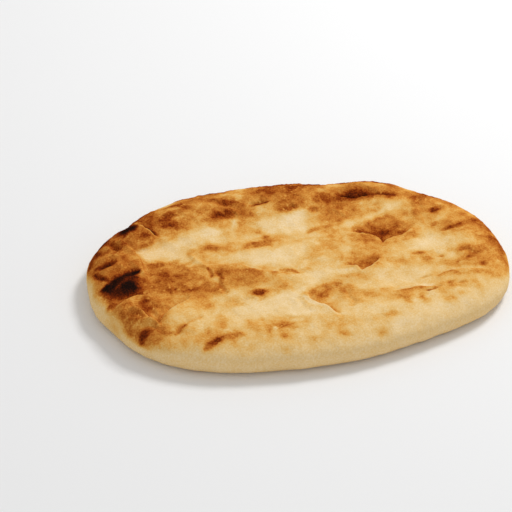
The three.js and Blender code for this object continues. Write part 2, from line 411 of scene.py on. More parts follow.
# %% Folds
FOLD_REACH = 8  # how far to each side the skin is lifted or sunk
FOLD_MARGIN = 2.5 * FOLD_REACH  # beyond it a fold is no longer felt
FOLD_TAPER = 0.25  # share of the path over which the fold runs out at each end
# Height or depth as a share of the step, distance from the path and width in mm
CREST_HEIGHT, CREST_OFFSET, CREST_WIDTH = 0.16, 1.5, 1.2
GROOVE_DEPTH, GROOVE_OFFSET, GROOVE_SPREAD = 0.3, 1, 0.9
RIPPLE, RIPPLE_SIZE = 0.6, 5


def run_out(along):
    """1 along the path, easing to 0 over the taper at both ends."""
    return smoothstep(0, FOLD_TAPER, along) * smoothstep(0, FOLD_TAPER, 1 - along)


place = np.column_stack([plan_x, plan_y, np.zeros_like(plan_x)])
ripple_x = plan_x + RIPPLE * noise(place, RIPPLE_SIZE, seed=21)
ripple_y = plan_y + RIPPLE * noise(place, RIPPLE_SIZE, seed=22)
for fold in FOLDS:
    here = near_path(fold.path, FOLD_MARGIN)
    distance, rightward, along = along_path(ripple_x[here], ripple_y[here], fold.path)
    rise = 0.5 * np.tanh(rightward / fold.softness) * bell(distance / FOLD_REACH)
    rise += CREST_HEIGHT * bell((rightward - CREST_OFFSET) / CREST_WIDTH)
    rise -= GROOVE_DEPTH * bell((rightward + GROOVE_OFFSET) / GROOVE_SPREAD)
    skin[here] += fold.step * run_out(along) * rise
print("skin with folds, mm:", round(skin[on_top].min(), 1), "to", round(skin[on_top].max(), 1))

# %% [markdown]
# ## Wrinkles and dimples
# Between the folds the skin is wrinkled where it shrank, above all on the lobes at the left end, and
# dimpled where a small bubble collapsed. A wrinkle is a bell across a path, up for a ridge and down for a
# groove, and a dimple or pimple is a bell round a point.

# %% Wrinkles
WRINKLE_STRENGTH = 1.3  # the listed heights are drawn this much stronger
WRINKLE_MARGIN = 4  # half-widths beyond which a wrinkle is no longer felt
# Path, half-width, height
WRINKLES = [
    ([(-99, 36), (-97, 29), (-95.5, 23)], 1.6, -1.5), ([(-94, 34), (-91.5, 28), (-88, 20)], 1.8, 1),
    ([(-97, 43), (-92, 36), (-87, 29)], 1.4, -0.4), ([(-103, 36), (-101, 30), (-100, 25)], 1.8, 0.9),
    ([(-108, 13), (-103, 13.5), (-98, 14.5)], 2, -1.3), ([(-108, 18), (-100, 20), (-94, 18)], 2, 0.9),
    ([(-107, 8), (-100, 9.5), (-94, 10)], 1.9, 1), ([(-110, 9), (-108, 5), (-106, 2)], 1.3, -0.9),
    ([(-102, -1), (-96, 0), (-90, 0)], 1.8, 0.8), ([(-106, -1), (-97, 3), (-87, 7.5)], 1.8, -0.9),
    ([(-90, 14), (-87, 8), (-84, 2)], 1.6, 0.8), ([(-104, -14), (-98, -15), (-91, -13)], 2, -0.9),
    ([(-97, -27), (-93, -28.5), (-90.5, -33)], 1.3, 1.1),
    ([(-93, -38), (-88, -38.5), (-84.5, -41.5)], 1.3, 1.1),
    ([(-98, -31), (-94, -32.5), (-92, -36)], 1.5, -0.8),
    ([(-94, -41), (-89, -41.5), (-86, -44)], 1.3, -0.7),
    ([(-87, -42), (-84.5, -44.5), (-82, -43)], 0.9, -0.6),
    ([(-84, -25), (-82.5, -31), (-82, -37)], 1.5, 0.9),
    ([(-80, -34), (-77.5, -30), (-76.5, -25)], 1.3, -0.9),
    ([(-77, -50), (-71, -44), (-66, -41.5), (-60, -38)], 1, -0.7),
    ([(-74, -50.5), (-68.5, -45), (-61, -41)], 1.8, 0.5), ([(-65, -63), (-59, -60), (-53, -57)], 1.6, -0.5),
    ([(-57, 20), (-56, 14), (-52, 6), (-49, 2)], 1.5, 0.6), ([(-50, 2), (-49, -2), (-49.5, -6)], 0.9, -0.6),
    ([(-46, -1), (-45, -5), (-44, -8)], 0.9, -0.7), ([(-47, -10), (-45.5, -15), (-45, -20)], 1.1, -0.6),
    ([(-46, -20), (-43, -19)], 0.7, -0.4), ([(-38, -29), (-34, -27.4), (-31, -28)], 0.7, -0.4),
    ([(-30, -31), (-27, -29.5), (-24.5, -27)], 0.7, -0.5),
    ([(20, -30), (19, -36), (20, -42), (17, -47)], 1.2, -0.5),
    ([(9, -29), (14, -26), (18, -24.5)], 0.9, -0.5), ([(-7, -32), (-7.5, -37), (-7, -42)], 1.5, -0.3),
    ([(46, -36), (54, -35), (61, -37.5)], 1.5, 0.5), ([(59, -43), (62, -43.4), (65.5, -42.6)], 0.8, -0.8),
    ([(65, -41.5), (68, -40.5)], 0.8, -0.6), ([(61, -29), (64, -28.6), (67, -28.4)], 0.7, -0.4),
    ([(72, -40), (74, -38.6), (76, -39.5)], 0.9, -0.5), ([(77, -40.5), (79, -41), (82, -40.5)], 0.8, -0.5),
    ([(-16, 53), (-11, 53.2), (-5, 53.6)], 0.8, -0.7),
    ([(-40, 60), (-34, 57.5), (-28, 54), (-20, 51.5)], 1.8, -0.6),
    ([(-40, 47), (-32, 48), (-24, 46)], 1.8, -0.5), ([(-70, 53), (-62, 50), (-54, 52)], 2, -0.5),
    ([(2, 46), (6, 47.5), (9, 48.5)], 1.2, -0.6), ([(18, 44), (21, 41)], 1.6, -0.5),
    ([(28, 42), (34, 38), (36, 34)], 1.6, 0.5), ([(36, 56), (46, 58.5), (56, 56)], 2, 0.6),
    ([(79, 44), (79, 36), (77, 28)], 1.6, -0.6), ([(82, 25), (86, 27), (90, 29.5)], 1.8, -0.7),
    ([(84, 8), (88, 8), (92, 7.5)], 0.9, -0.5), ([(88, -11), (92, -15), (95, -19)], 1.6, -0.5),
    ([(94, -26), (96, -27.5), (98, -27)], 1.4, -0.6),
]
for corners, wide, rise in WRINKLES:
    here = near_path(corners, WRINKLE_MARGIN * wide)
    distance, _, along = along_path(ripple_x[here], ripple_y[here], corners)
    skin[here] += WRINKLE_STRENGTH * rise * bell(distance / wide) * np.sqrt(run_out(along))
print(len(WRINKLES), "wrinkles")

# %% Dimples
# Centre x, y, radius, height
DIMPLES = [
    (-98, 10, 1.3, 0.5), (-107, 6, 1.3, 0.5), (-93, 18, 1.4, 0.5), (-95, -7, 4.5, 0.8),
    (-70.5, -12, 0.9, -0.5), (-27.5, -23, 3, 0.5), (-29.3, -30.3, 1, 0.5), (-41.5, -29, 1.6, -0.4),
    (-46, -27, 1.8, -0.4), (-31, -48.5, 1.5, -0.4), (-22, -72, 1.6, -0.5), (28, -71, 2, -0.5),
    (36, -58, 2.4, -0.3), (40.5, 15, 1, 0.5), (65, -8, 2.2, -0.4), (75.5, -11, 0.9, -0.5),
    (77, -14, 1, -0.6), (-26, -57, 1.4, 0.4), (55, 39, 1.6, -0.3), (92, -20.5, 1.4, -0.4),
    (95, 8, 1.5, -0.4), (30, 57, 2, 0.5), (61, 14, 1.6, -0.4),
]
for centre_x, centre_y, radius, rise in DIMPLES:
    skin += rise * bell(np.hypot(ripple_x - centre_x, ripple_y - centre_y) / radius) * on_top
print("skin with wrinkles, mm:", round(skin[on_top].min(), 1), "to", round(skin[on_top].max(), 1))

# %% [markdown]
# ## Section of the side
# The side is round: from the widest line, a little below half its height, it rolls over into the top skin
# and tucks under to the flat underside. A bevel would give plain circles; quarters of a superellipse are
# fuller, as puffed dough is.

# %% Heights
WAIST = 7.5  # height of the widest line
EDGE_ROUNDNESS = 2.3  # 2 is an ellipse, more is squarer


def round_over(t):
    """Climbs steeply from 0 at t = 0 and levels out at 1: (1 - (1 - t)^n)^(1/n)."""
    return (1 - (1 - np.minimum(t, 1)) ** EDGE_ROUNDNESS) ** (1 / EDGE_ROUNDNESS)


top_height = WAIST + (skin - WAIST) * round_over(inset / SHOULDER)
underside_height = WAIST * (1 - round_over(inset / HEEL))
height = np.where(on_top, top_height, underside_height)
middle_x, middle_y = (plan_x.max() + plan_x.min()) / 2, (plan_y.max() + plan_y.min()) / 2
points = np.column_stack([plan_x - middle_x, plan_y - middle_y, height])
print("surface, mm:", np.round(np.ptp(points, axis=0), 1), "shift", round(middle_x, 2), round(middle_y, 2))

# %% [markdown]
# ## Toast marks
# The skin browned where it stood nearest the heat, from cream over gold and orange-brown to red-brown and,
# in a few places, black. An even noise pattern would not look like this bread, so its marks are painted one
# over the other: wide soft patches first, then spots and streaks. Each has its own toast level, from 0 for
# raw cream to 1.25 or more for char, a wide faint halo, and an uneven edge, because the places are shifted
# by noise before a mark is drawn.

# %% Bare skin
CREAM = 0.1
# Strength, size, seed
CLOUDS = [(0.06, 18, 37), (0.05, 7, 38)]
WANDER_X = [(1.2, 10, 31), (1.2, 4.5, 32), (0.4, 2.2, 33)]
WANDER_Y = [(1.2, 10, 34), (1.2, 4.5, 35), (0.4, 2.2, 36)]
toast = CREAM + layered_noise(place, CLOUDS)
wander_x, wander_y = layered_noise(place, WANDER_X), layered_noise(place, WANDER_Y)
print("toast of the bare skin:", round(toast[on_top].mean(), 3))

# %% Painting a toast level
HALO_SIZE, HALO_STRENGTH = 2, 0.54
SOFT_EDGE = 0.65  # share of a mark's size over which its edge fades, where the mark gives none
FULL_STRAY = 6  # a mark of this half-width wanders fully, and a narrower one less
MARK_REACH, MARK_MARGIN = 4, 3  # times its size, and mm more, beyond which a mark is no longer felt
STREAK_END = 0.35  # width of a streak's ends, as a share of its middle
END_SHARE = 0.02  # share of a streak's path that counts as an end


def covering(distance, edge):
    """1 inside a mark and 0 outside, changing over the edge on both sides of distance 1."""
    return 1 - smoothstep(1 - edge, 1 + edge, distance)


def paint(here, distance, level, edge):
    """Brings points to a toast level: faintly over the halo, then fully inside distance 1."""
    for size, strength in ((HALO_SIZE, HALO_STRENGTH * edge), (1, 1)):
        toast[here] += strength * (level - toast[here]) * covering(distance / size, edge)


def wandered(here, wide):
    """Places shifted by the noise, less for a narrow mark."""
    stray = min(1, wide / FULL_STRAY)
    return plan_x[here] + stray * wander_x[here], plan_y[here] + stray * wander_y[here]


def paint_spot(centre_x, centre_y, long, wide, turn, level, edge=SOFT_EDGE):
    """Brings an elliptical spot of skin to a toast level."""
    here = near_path([(centre_x, centre_y)], MARK_REACH * max(long, wide) + MARK_MARGIN)
    x, y = wandered(here, min(long, wide))
    paint(here, ellipse_distance(x, y, centre_x, centre_y, long, wide, turn), level, edge)


def paint_streak(corners, wide, level, edge=SOFT_EDGE):
    """Brings the skin along a path to a toast level; its width follows the root of a half sine wave, so the
    streak thins out to both ends."""
    here = near_path(corners, MARK_REACH * wide + MARK_MARGIN)
    distance, _, along = along_path(*wandered(here, wide), corners)
    fullness = np.sqrt(np.sin(math.pi * np.clip(along, END_SHARE, 1 - END_SHARE)))
    paint(here, distance / (wide * (STREAK_END + (1 - STREAK_END) * fullness)), level, edge)


def paint_marks(where, spots, streaks):
    """Paints the spots of one part of the bread and then its streaks, each over what is there."""
    for spot in spots:
        paint_spot(*spot)
    for streak in streaks:
        paint_streak(*streak)
    mean_toast = round(toast[on_top].mean(), 3)
    print(len(spots) + len(streaks), "marks; mean toast of the top with", where + ":", mean_toast)


print("cover in a mark, on its line and outside:", covering(np.array([0, 1, 2]), SOFT_EDGE))

# %% [markdown]
# ## Rim
# The puffed rim stood highest in the oven and browned in a band, deepest along the back and round the left
# end and paler to the right; the front stays mostly bare. Broad streaks laid along the outline overlap into
# one band whose depth varies, which a single ring of colour would not.

# %% Toast of the rim
# Path, half-width, toast level
RIM_STREAKS = [
    ([(-110, 8), (-107, 24), (-98, 40), (-84, 54)], 9, 0.76),
    ([(-88, 51), (-66, 62), (-44, 68)], 9, 0.7),
    ([(-52, 66), (-28, 71), (-8, 71)], 9, 0.65),
    ([(-18, 69), (2, 71), (22, 70)], 9, 0.75),
    ([(10, 66), (30, 68), (50, 67)], 9, 0.74),
    ([(44, 67), (64, 62), (82, 50)], 9, 0.76),
    ([(72, 53), (90, 44), (103, 29), (110, 12)], 10, 0.6),
    ([(108, 18), (113, 0), (112, -20)], 9, 0.64),
    ([(111, -12), (106, -26), (97, -36)], 6, 0.4),
    ([(-82, 45), (-66, 50), (-52, 53), (-38, 54)], 8.5, 0.69),
    ([(-46, 49), (-30, 50), (-14, 53)], 8, 0.63),
    ([(-20, 56), (-4, 57), (10, 56), (24, 51)], 8, 0.56),
    ([(18, 45), (32, 47), (44, 52), (58, 52)], 8.5, 0.7),
    ([(56, 54), (66, 49), (76, 43)], 6, 0.54),
    ([(76, 46), (82, 36), (85, 24)], 8, 0.5),
    ([(88, 32), (97, 20), (101, 4)], 9, 0.38),
    ([(82, 14), (92, 10), (102, 10)], 6, 0.48),
    ([(89, -10), (97, -14), (106, -10)], 7, 0.44),
    ([(80, -22), (92, -25), (104, -26)], 5, 0.35),
    ([(66, -30), (80, -31), (96, -34)], 4, 0.34),
    ([(63, -40), (74, -40), (88, -39)], 4.5, 0.38),
]
paint_marks("the rim", [], RIM_STREAKS)

# %% [markdown]
# ## Wide patches
# Where a bubble rose close to the heat there is a wide patch of gold or brown. These come before the small
# marks, as a painter lays in the ground: each is one soft ellipse, and neighbours run into each other.

# %% Wide patches of toast
# Centre x, y, half-length, half-width, turn in degrees, toast level
WIDE_PATCHES = [
    (-99, 18, 21, 12, 75, 0.75),  # left lobe
    (-82, 33, 9, 6.5, 20, 0.68),  # knob
    (-78, 4, 10, 13.5, 0, 0.68),  # browned patch inside the left lobes
    (-68, 0, 15, 15, 0, 0.62),
    (-55, -3, 8, 11, 0, 0.46),
    (-58, -14, 15, 5, -5, 0.6),
    (-74, -20, 9, 5, 20, 0.52),
    (-58, -24, 6, 7, 0, 0.48),
    (-44, -26, 4, 6, 0, 0.3),
    (-89, -3, 7, 9, 0, 0.76),  # round the char blister
    (-87, -14, 5, 4, 0, 0.7),
    (-96, -31, 12, 7, 115, 0.55),  # front left lobe
    (-83, -27, 11, 6, 65, 0.58),  # pocket
    (-86, -47, 9, 5, -35, 0.52),
    (-68, -50, 10, 6, 20, 0.36),
    (-71, -33, 11, 6, 35, 0.32),  # pale fold
    (-50, -60, 9, 5, 0, 0.34),
    (-33, -8, 14, 8, -14, 0.56),  # long mound
    (-30, 36, 14, 7, 0, 0.3),  # behind the middle
    (-60, 40, 14, 4, -5, 0.42),
    (-30, 43, 12, 4, 0, 0.5),
    (-30, 19, 24, 4, 0, 0.34),
    (18, 24, 12, 6, 10, 0.34),
    (31, 11, 12, 7, 0, 0.28),  # right-hand patch
    (17, 6, 11, 5, 10, 0.28),
    (34, -5, 12, 7, 10, 0.44),
    (38, 35, 13, 5, 8, 0.56),
    (53, 19, 14, 8, 15, 0.68),  # sunken blister
    (44, 8, 8, 7, 50, 0.5),
    (60, 8, 9, 5, 30, 0.46),
    (36, 41, 9, 5, 20, 0.54),  # behind it
    (76, 27, 8, 5, 20, 0.46),
    (78, 16, 10, 6, 20, 0.32),
    (60, -13, 14, 5, 0, 0.28),
    (11, -31, 12, 5.5, 22, 0.48),  # crescent dent
    (9, -39, 10, 7, 0, 0.3),
    (24, -36.5, 9, 6, 0, 0.38),
    (46, -41, 11, 5, -5, 0.35),  # front rim on the right
    (-21, -55, 14, 8, -5, 0.37),  # front rim in the middle
    (5, -57, 10, 5.4, 0, 0.4),
    (-26, -66, 20, 5, 0, 0.22),
]
paint_marks("the wide patches", WIDE_PATCHES, [])

# %% [markdown]
# ## Left end
# The left end got the most heat. It has a charred blister with a black core, a scorched knob, and wrinkled
# lobes whose creases are dark and whose ridges are lighter. Spots are painted first and the creases last,
# as streaks; char stops more suddenly than toast, so it has a sharper edge. The numbers are read in the
# same way in the next four cells of marks.

# %% Toast marks of the left end
# Centre x, y, half-length, half-width, turn in degrees, toast level, and the edge if it isn't the usual one
LEFT_END_SPOTS = [
    (-86.6, 43, 4.8, 5.2, -10, 1.3, 0.4),  # char at the back of the knob
    (-109.5, 28, 10, 4.6, 68, 1.06), (-106, 20, 5, 2, 0, 0.6), (-99, 21, 5, 2.5, 10, 0.58),
    (-97, 9.5, 4.5, 1.8, 10, 0.58), (-107, 6, 2, 1.5, 0, 0.45), (-92, 15, 5, 4, 40, 0.66),
    (-91, 23, 4, 4, 0, 0.72), (-79, 36.4, 4, 2, 10, 0.86), (-75.5, 44, 2.4, 4, 15, 0.88),
    (-74, 32, 3.5, 2, 20, 0.66), (-85, 30, 4, 2.4, -30, 0.7), (-85, 36, 4, 2, 20, 0.6),
    # Pale hollow
    (-70, 24, 12, 6.5, 0, 0.08), (-80, 20, 4, 5, 0, 0.1), (-60, 30, 8, 5, 0, 0.08),
    (-61, 16, 4, 5, 10, 0.14),
    (-99, -7, 10, 8, 15, 0.92, 0.6),  # char blister
    (-98, -13, 9, 3.4, 3, 1, 0.6), (-104, -13, 5, 3.4, 0, 0.96), (-103.5, -18.5, 3.4, 2.4, 0, 0.84),
    (-104.5, -6.5, 4, 2.8, 20, 1.12), (-94, -6.8, 4.1, 4.2, 0, 1.34, 0.45), (-84, -9, 2.4, 3.6, 0, 0.44),
    (-81.5, 6, 3, 5, 0, 0.68), (-85, 3, 1.5, 2.5, 0, 0.42), (-98, -26, 4, 3, 30, 0.6),
    (-99, -36, 3, 4, 20, 0.56), (-87.5, -26, 5, 2.2, 105, 0.84), (-84, -31, 5, 1.6, 100, 0.46),
    (-78, -29, 4.5, 1.5, 70, 0.7), (-74, -24, 4, 2, 50, 0.5), (-69, -21, 3.5, 1.6, 55, 0.66),
    (-81, -20, 2, 1.6, 0, 0.66), (-76, -18, 4, 2, 0, 0.46), (-82, -16, 3, 1.5, 0, 0.42),
    (-67, -36, 7, 3, 35, 0.27), (-60, -48, 5, 5, 0, 0.12), (-76, -40, 4, 2, 30, 0.26),
    (-89, -46, 4, 3.4, 0, 0.66), (-84, -49, 4, 2.5, 0, 0.54), (-83, -44, 2, 1.4, 0, 0.6),
    (-90, 9, 6, 1.8, 10, 0.7), (-77, 35, 3, 1.6, 0, 0.8), (-63, 35, 4, 2, 0, 0.42),
    (-55, 49.5, 5, 1.6, 0, 0.68), (-52, 42.5, 15, 2.4, 0, 0.54), (-74.5, 61, 6, 3, 30, 0.95),
    (-87, 51.5, 3.6, 4, 0, 1.1), (-62, 65, 5, 3, 20, 0.24), (-113, 6, 2.4, 5, 0, 0.24),
    (-59, 19, 4, 3, 0, 0.08), (-107, 3, 4, 4, 0, 0.5), (-108, -5.6, 3.4, 1.8, 10, 1.02),
    (-111, -16, 3, 6, 10, 0.2), (-92.6, -45, 4, 2, 33, 0.99, 0.6), (-77, -53, 4, 3, 0, 0.3),
    (-60, -54, 6, 3.4, 25, 0.44), (-87.6, -23.4, 2.2, 4, 15, 0.86, 0.5), (-111.8, -3.4, 2.4, 4, 0, 0.64),
    (-95, 20, 5, 3, 20, 0.7), (-91, 11, 3, 2.4, 0, 0.74), (-97, -33, 3.4, 2.4, 20, 0.68),
    (-96, -38.4, 3, 2.4, 20, 0.64),
]
# Path, half-width, toast level, and the edge if it isn't the usual one
LEFT_END_STREAKS = [
    ([(-99.5, -29), (-95, -33), (-90.6, -37)], 2.2, 0.68),
    ([(-107, -18), (-101, -16), (-96, -13), (-91, -12)], 2.2, 1, 0.5),
    ([(-104, -21), (-98.6, -20), (-94, -17.6), (-89.6, -17)], 1.5, 0.46),
    ([(-97.5, -38.4), (-92.2, -38), (-87.6, -38.4), (-84.5, -42)], 1, 0.44),
    ([(-113, 19), (-110.6, 26), (-106, 32), (-99, 40)], 2.4, 0.96),
    # The next streak lightens the dark left shoulder: painted sheen where glossy skin catches the light
    ([(-105, 31.5), (-103, 30), (-101, 27)], 1.6, 0.56),
    ([(-98.4, 36), (-97.2, 32.6), (-95.9, 27), (-94, 23)], 1.6, 0.88, 0.6),
    ([(-108.4, 13.6), (-103.6, 12.8), (-98, 14.2)], 2.1, 0.98, 0.6),
    ([(-93.5, 32), (-91, 28), (-88.5, 25)], 1, 0.74),
    ([(-110.4, 10), (-109, 7), (-105.5, 1.6)], 1.4, 0.92),
    ([(-107, -5), (-104, -4.2), (-100.4, -1.6), (-95.5, 1.6)], 3.2, 1.26, 0.55),
    ([(-101, -1.2), (-95, 2.6), (-91, 4.2), (-87.4, 5)], 1.8, 1.22, 0.6),
    ([(-101.5, -7), (-97.6, -3.4), (-92.8, -1), (-88.6, 0.8)], 1.1, 1.04),
    ([(-77, -50), (-73, -46), (-70, -43.5)], 1, 0.62),
    ([(-70, -43.5), (-65, -41.5), (-60, -38)], 0.9, 0.4),
    ([(-51, -39), (-50.5, -44), (-53, -52)], 2, 0.36),
    ([(-64, -62.5), (-60, -60.5), (-54, -58)], 2, 0.96),
    ([(-54, -58.6), (-50, -58.6), (-44, -57.5)], 2, 0.6),
    ([(-79.5, 49.5), (-76.5, 43.5), (-73, 39)], 1.4, 0.95),
    ([(-80, 51), (-73, 53), (-65, 50.5)], 3, 0.72),
    ([(-73, 48), (-64.6, 45.2), (-56, 43)], 3.6, 0.8),
    ([(-62, 58), (-54, 59), (-46, 56)], 2, 0.72),
    ([(-68, 57.5), (-62, 57), (-56, 56)], 1.8, 0.4),
    ([(-58, 49), (-53, 47), (-48, 46)], 2.4, 0.46),
    # The last streak lightens the front flank of the front left lobe: painted light where the key leaves it
    # in shade
    ([(-94, -41), (-90.2, -39.6), (-86.8, -42.4)], 1.7, 0.45),
]
paint_marks("the left end", LEFT_END_SPOTS, LEFT_END_STREAKS)

# %% [markdown]
# ## Browned patch and long mound
# Inside the left lobes a broad bubble browned in blots, and a long mound runs from it into the middle.
# Darker blots over the ground colour, with pale gaps between them, give the broken look of the real skin.

# %% Toast marks of the browned patch and the long mound
PATCH_SPOTS = [
    (-74, 12, 7, 3, 0, 0.64), (-73, 10, 4, 2.2, 20, 0.7), (-66, 8, 4, 2, 0, 0.56),
    (-80, -5, 4, 4, 30, 0.72), (-72, -2, 5, 3, 70, 0.76), (-70, 6, 4, 2, 0, 0.68),
    (-76, -12.5, 5, 1.8, -10, 0.74), (-62, -14, 4.5, 1.8, -10, 0.84), (-68, -11, 3, 1.4, -20, 0.72),
    (-61, -6, 4, 2.6, 0, 0.72), (-53, -15, 6, 2, -10, 0.72), (-47, -13, 1.8, 3.4, 0, 0.78),
    (-70.5, -12, 0.8, 0.8, 0, 1.02), (-65, 2, 3, 2.4, 0, 0.48), (-56, 6, 4, 5, 0, 0.3),
    (-47, -8, 2.4, 2, 0, 0.12), (-58, -9, 3, 2, 0, 0.4), (-71, -6, 2, 2.5, 0, 0.42),
    (-58, -20.5, 2.6, 1.4, -10, 0.64), (-55, -27, 1.2, 2.6, 20, 0.6), (-62, -20, 3, 1.4, 0, 0.36),
    (-42, -28, 2, 2.8, 0, 0.4), (-47, -26, 2, 3, 0, 0.26), (-40, 2, 7, 3, 0, 0.52),
    (-46.5, 1, 1.8, 2.4, 20, 0.72), (-43.5, -3, 2.6, 3, 30, 0.68), (-44, -8, 1, 1.6, 0, 0.82),
    (-36, -4, 4, 2, 0, 0.66), (-29, -8, 6, 3.6, -20, 0.75), (-29, -13, 4, 2, 0, 0.6),
    (-35, -12, 4, 3, 0, 0.5), (-21, -8, 5, 3, -25, 0.62), (-40, -14, 4, 3, 0, 0.34),
    (-12, -11, 6, 2.4, -15, 0.4), (-4, -12, 3, 1.6, -50, 0.42), (-22, -18, 3, 1.4, -10, 0.46),
    (-14, -24, 7, 3.6, -20, 0.62), (-36, -21, 5, 3, 0, 0.1), (-27.4, -21.6, 4.5, 2.4, -5, 0.34),
    (-26, -27.4, 2.5, 1, 20, 0.34), (-16, 6, 12, 6, 0, 0.08), (-12, -31, 9, 4, 0, 0.05),
    (-30, -36, 10, 5, 0, 0.08), (-8, -42, 8, 8, 0, 0.03), (-70, -4, 2.6, 2.4, 0, 0.78),
    (-60, -4, 3, 6, 0, 0.64), (-59, -19, 3, 2.4, 0, 0.66), (-57, -27, 2, 3.4, 20, 0.6),
    (-42, -29.5, 3.6, 2, -20, 0.46), (-33, -14, 8, 2.6, -8, 0.58), (-50, 3, 3, 6, 0, 0.4),
    (-75, 4, 4, 3, 0, 0.58), (-31, 4, 3, 2.4, 0, 0.16), (-18, -14, 3, 2, 0, 0.32),
    (-52, -28.5, 2, 2.4, 0, 0.26), (-33, -21, 3.4, 2.6, 0, 0.14), (-20.5, -21, 2.4, 2, 0, 0.2),
    (-27, -23.6, 4.6, 3, -6, 0.82, 0.45), (-30.2, -11.4, 5, 2, -10, 0.66), (-70.6, -2, 4, 2.6, 0, 0.84),
]
PATCH_STREAKS = [
    ([(-50, 2), (-49, -2), (-49.5, -6)], 0.8, 0.78),
    ([(-46, -1), (-45, -5), (-44, -9)], 0.9, 0.78),
    ([(-12, -7), (-7, -8.3), (-3, -11.5)], 1, 0.68),
    ([(-20, -8), (-16, -10.5), (-12, -11)], 0.9, 0.56),
    ([(-57, 20), (-56, 14), (-52, 6)], 1.4, 0.26),
    ([(-47, -19), (-44.5, -20), (-43, -19)], 0.6, 0.5),
    ([(-38, -29), (-34, -27.4), (-31, -28)], 0.6, 0.26),
    ([(-30, -31), (-27, -29.5), (-24.5, -27)], 0.6, 0.3),
]
paint_marks("the browned patch", PATCH_SPOTS, PATCH_STREAKS)

# %% [markdown]
# ## Behind the middle
# The back rim is blotched with brown, and before it lies a pale hollow that the heat hardly reached,
# crossed by thin drifts of gold. The rim's blots are wide and deep; the hollow gets flat pale spots that
# wipe out the halos of its neighbours.

# %% Toast marks behind the middle
BACK_SPOTS = [
    (-31, 48.6, 9, 3.8, 8, 0.77), (-18, 46, 4, 1.8, -5, 0.72), (-22, 43, 4, 1.6, 0, 0.5),
    (-46, 48, 4, 3, 0, 0.42), (-42, 56, 4, 2, 0, 0.48), (-50, 52, 4, 2, 0, 0.5), (-36, 64, 6, 2, 0, 0.66),
    (-24, 63, 3, 3, 0, 0.34), (-18, 58, 6, 3, 0, 0.42), (4, 60, 15, 5, 0, 0.62), (-8, 62, 4, 2.4, 0, 0.78),
    (-3, 60, 3, 2.4, 0, 0.8), (9, 61, 5, 2.6, 0, 0.78), (2, 56, 3, 1.6, 0, 0.52),
    (9, 53.6, 5, 2.2, 0, 0.76), (16, 56, 4, 3, 0, 0.62), (23, 60, 3, 3, 0, 0.62),
    (5.6, 47, 5, 2.4, 12, 0.8), (6, 47.5, 3.4, 1.4, 15, 0.96), (3, 51, 6, 3.4, 0, 0.64),
    (-6, 51, 4, 2, 0, 0.28), (-12, 48, 3, 3, 0, 0.3), (14, 50, 3, 2, 0, 0.56), (20, 43.4, 3.4, 3, 30, 0.66),
    (24, 46, 3, 2, 0, 0.62), (27, 57.5, 2.6, 2, 0, 0.14), (9, 37, 7, 8, 0, 0.04),
    (-27.5, 39, 1.8, 5.5, -10, 0.08), (-44, 36, 7, 3.5, 0, 0.08), (-24, 35, 4, 2.6, 0, 0.36),
    (-15, 32, 1.8, 1.4, 0, 0.52), (-14, 36, 1.6, 1.4, 0, 0.52), (-12.5, 26.4, 2.8, 1, 5, 0.54),
    (-31, 43, 1.6, 4, 0, 0.4), (-26, 28, 4, 1.6, 0, 0.26), (-10, 37, 4, 4, 0, 0.12),
    (-40, 14, 3, 2, 0, 0.34), (-33, 19, 5, 2, 0, 0.42), (-21, 18.5, 6, 1.6, 0, 0.52),
    (-4, 24.5, 3, 2, 0, 0.36), (4, 18, 2.4, 2.4, 0, 0.38), (5, 24.5, 1.4, 1.6, 0, 0.34),
    (21, 23, 2, 1.6, 0, 0.6), (22, 16, 1.8, 2.6, -20, 0.5), (17, 13.5, 2, 1.4, 0, 0.44),
    (12, 6.5, 3, 2.4, 40, 0.46), (23, 7, 2.2, 3, 0, 0.46), (7, 1, 4, 2, 0, 0.34), (18, 8, 4, 2, 0, 0.38),
    (28, 19, 2, 3, 0, 0.36), (36, 28, 5, 3, 20, 0.16), (2, 8, 4, 5, 0, 0.12), (6.5, 52.5, 4, 2.6, 0, 0.76),
    (15.5, 36, 7, 7, 0, 0.05), (19, 43.2, 2.8, 2.6, 30, 0.68), (5.6, 46.6, 4.2, 2, 12, 0.86),
    (27.5, 66, 8, 4.4, 0, 0.9), (0, 70, 9, 3.6, 0, 0.86), (-33, 71.5, 7, 3.4, 0, 0.84),
    (27.5, 19.5, 2.4, 3, 0, 0.46), (-18, 69, 3, 4, 0, 0.34), (-26, 61, 8, 3.6, 0, 0.3),
    (-33, 22.6, 4, 1.4, 0, 0.28), (19, 13.5, 3, 2.4, 0, 0.32), (-45, 21.4, 6.4, 3.4, -5, 0.56),
    (-46.4, 21.8, 3.6, 2.2, 0, 0.7), (-19.4, 20.4, 5, 1.6, -3, 0.72), (-12.6, 20.8, 3.4, 3.4, 0, 0.74),
    (-31.6, 21.6, 2.6, 3, 0, 0.3), (-29, 50, 4, 2, 20, 0.86),
]
BACK_STREAKS = [
    ([(-39, 60.6), (-34, 59), (-30, 57.4), (-20, 53.4)], 2.2, 0.8),
    ([(-16, 52.4), (-11, 52.6), (-5, 53)], 0.7, 0.78),
    ([(12, 25), (19, 27.2), (30, 28)], 2.2, 0.46),
    ([(24, 52), (28, 50), (30, 46)], 2.4, 0.76),
]
paint_marks("the back", BACK_SPOTS, BACK_STREAKS)

# %% [markdown]
# ## Right end
# On the right a blister sank and browned inside its lips, and a pocket in the back rim scorched nearly
# black. The rim round them is freckled. Their dark cores are sharp-edged spots; the freckles are small soft
# ones.

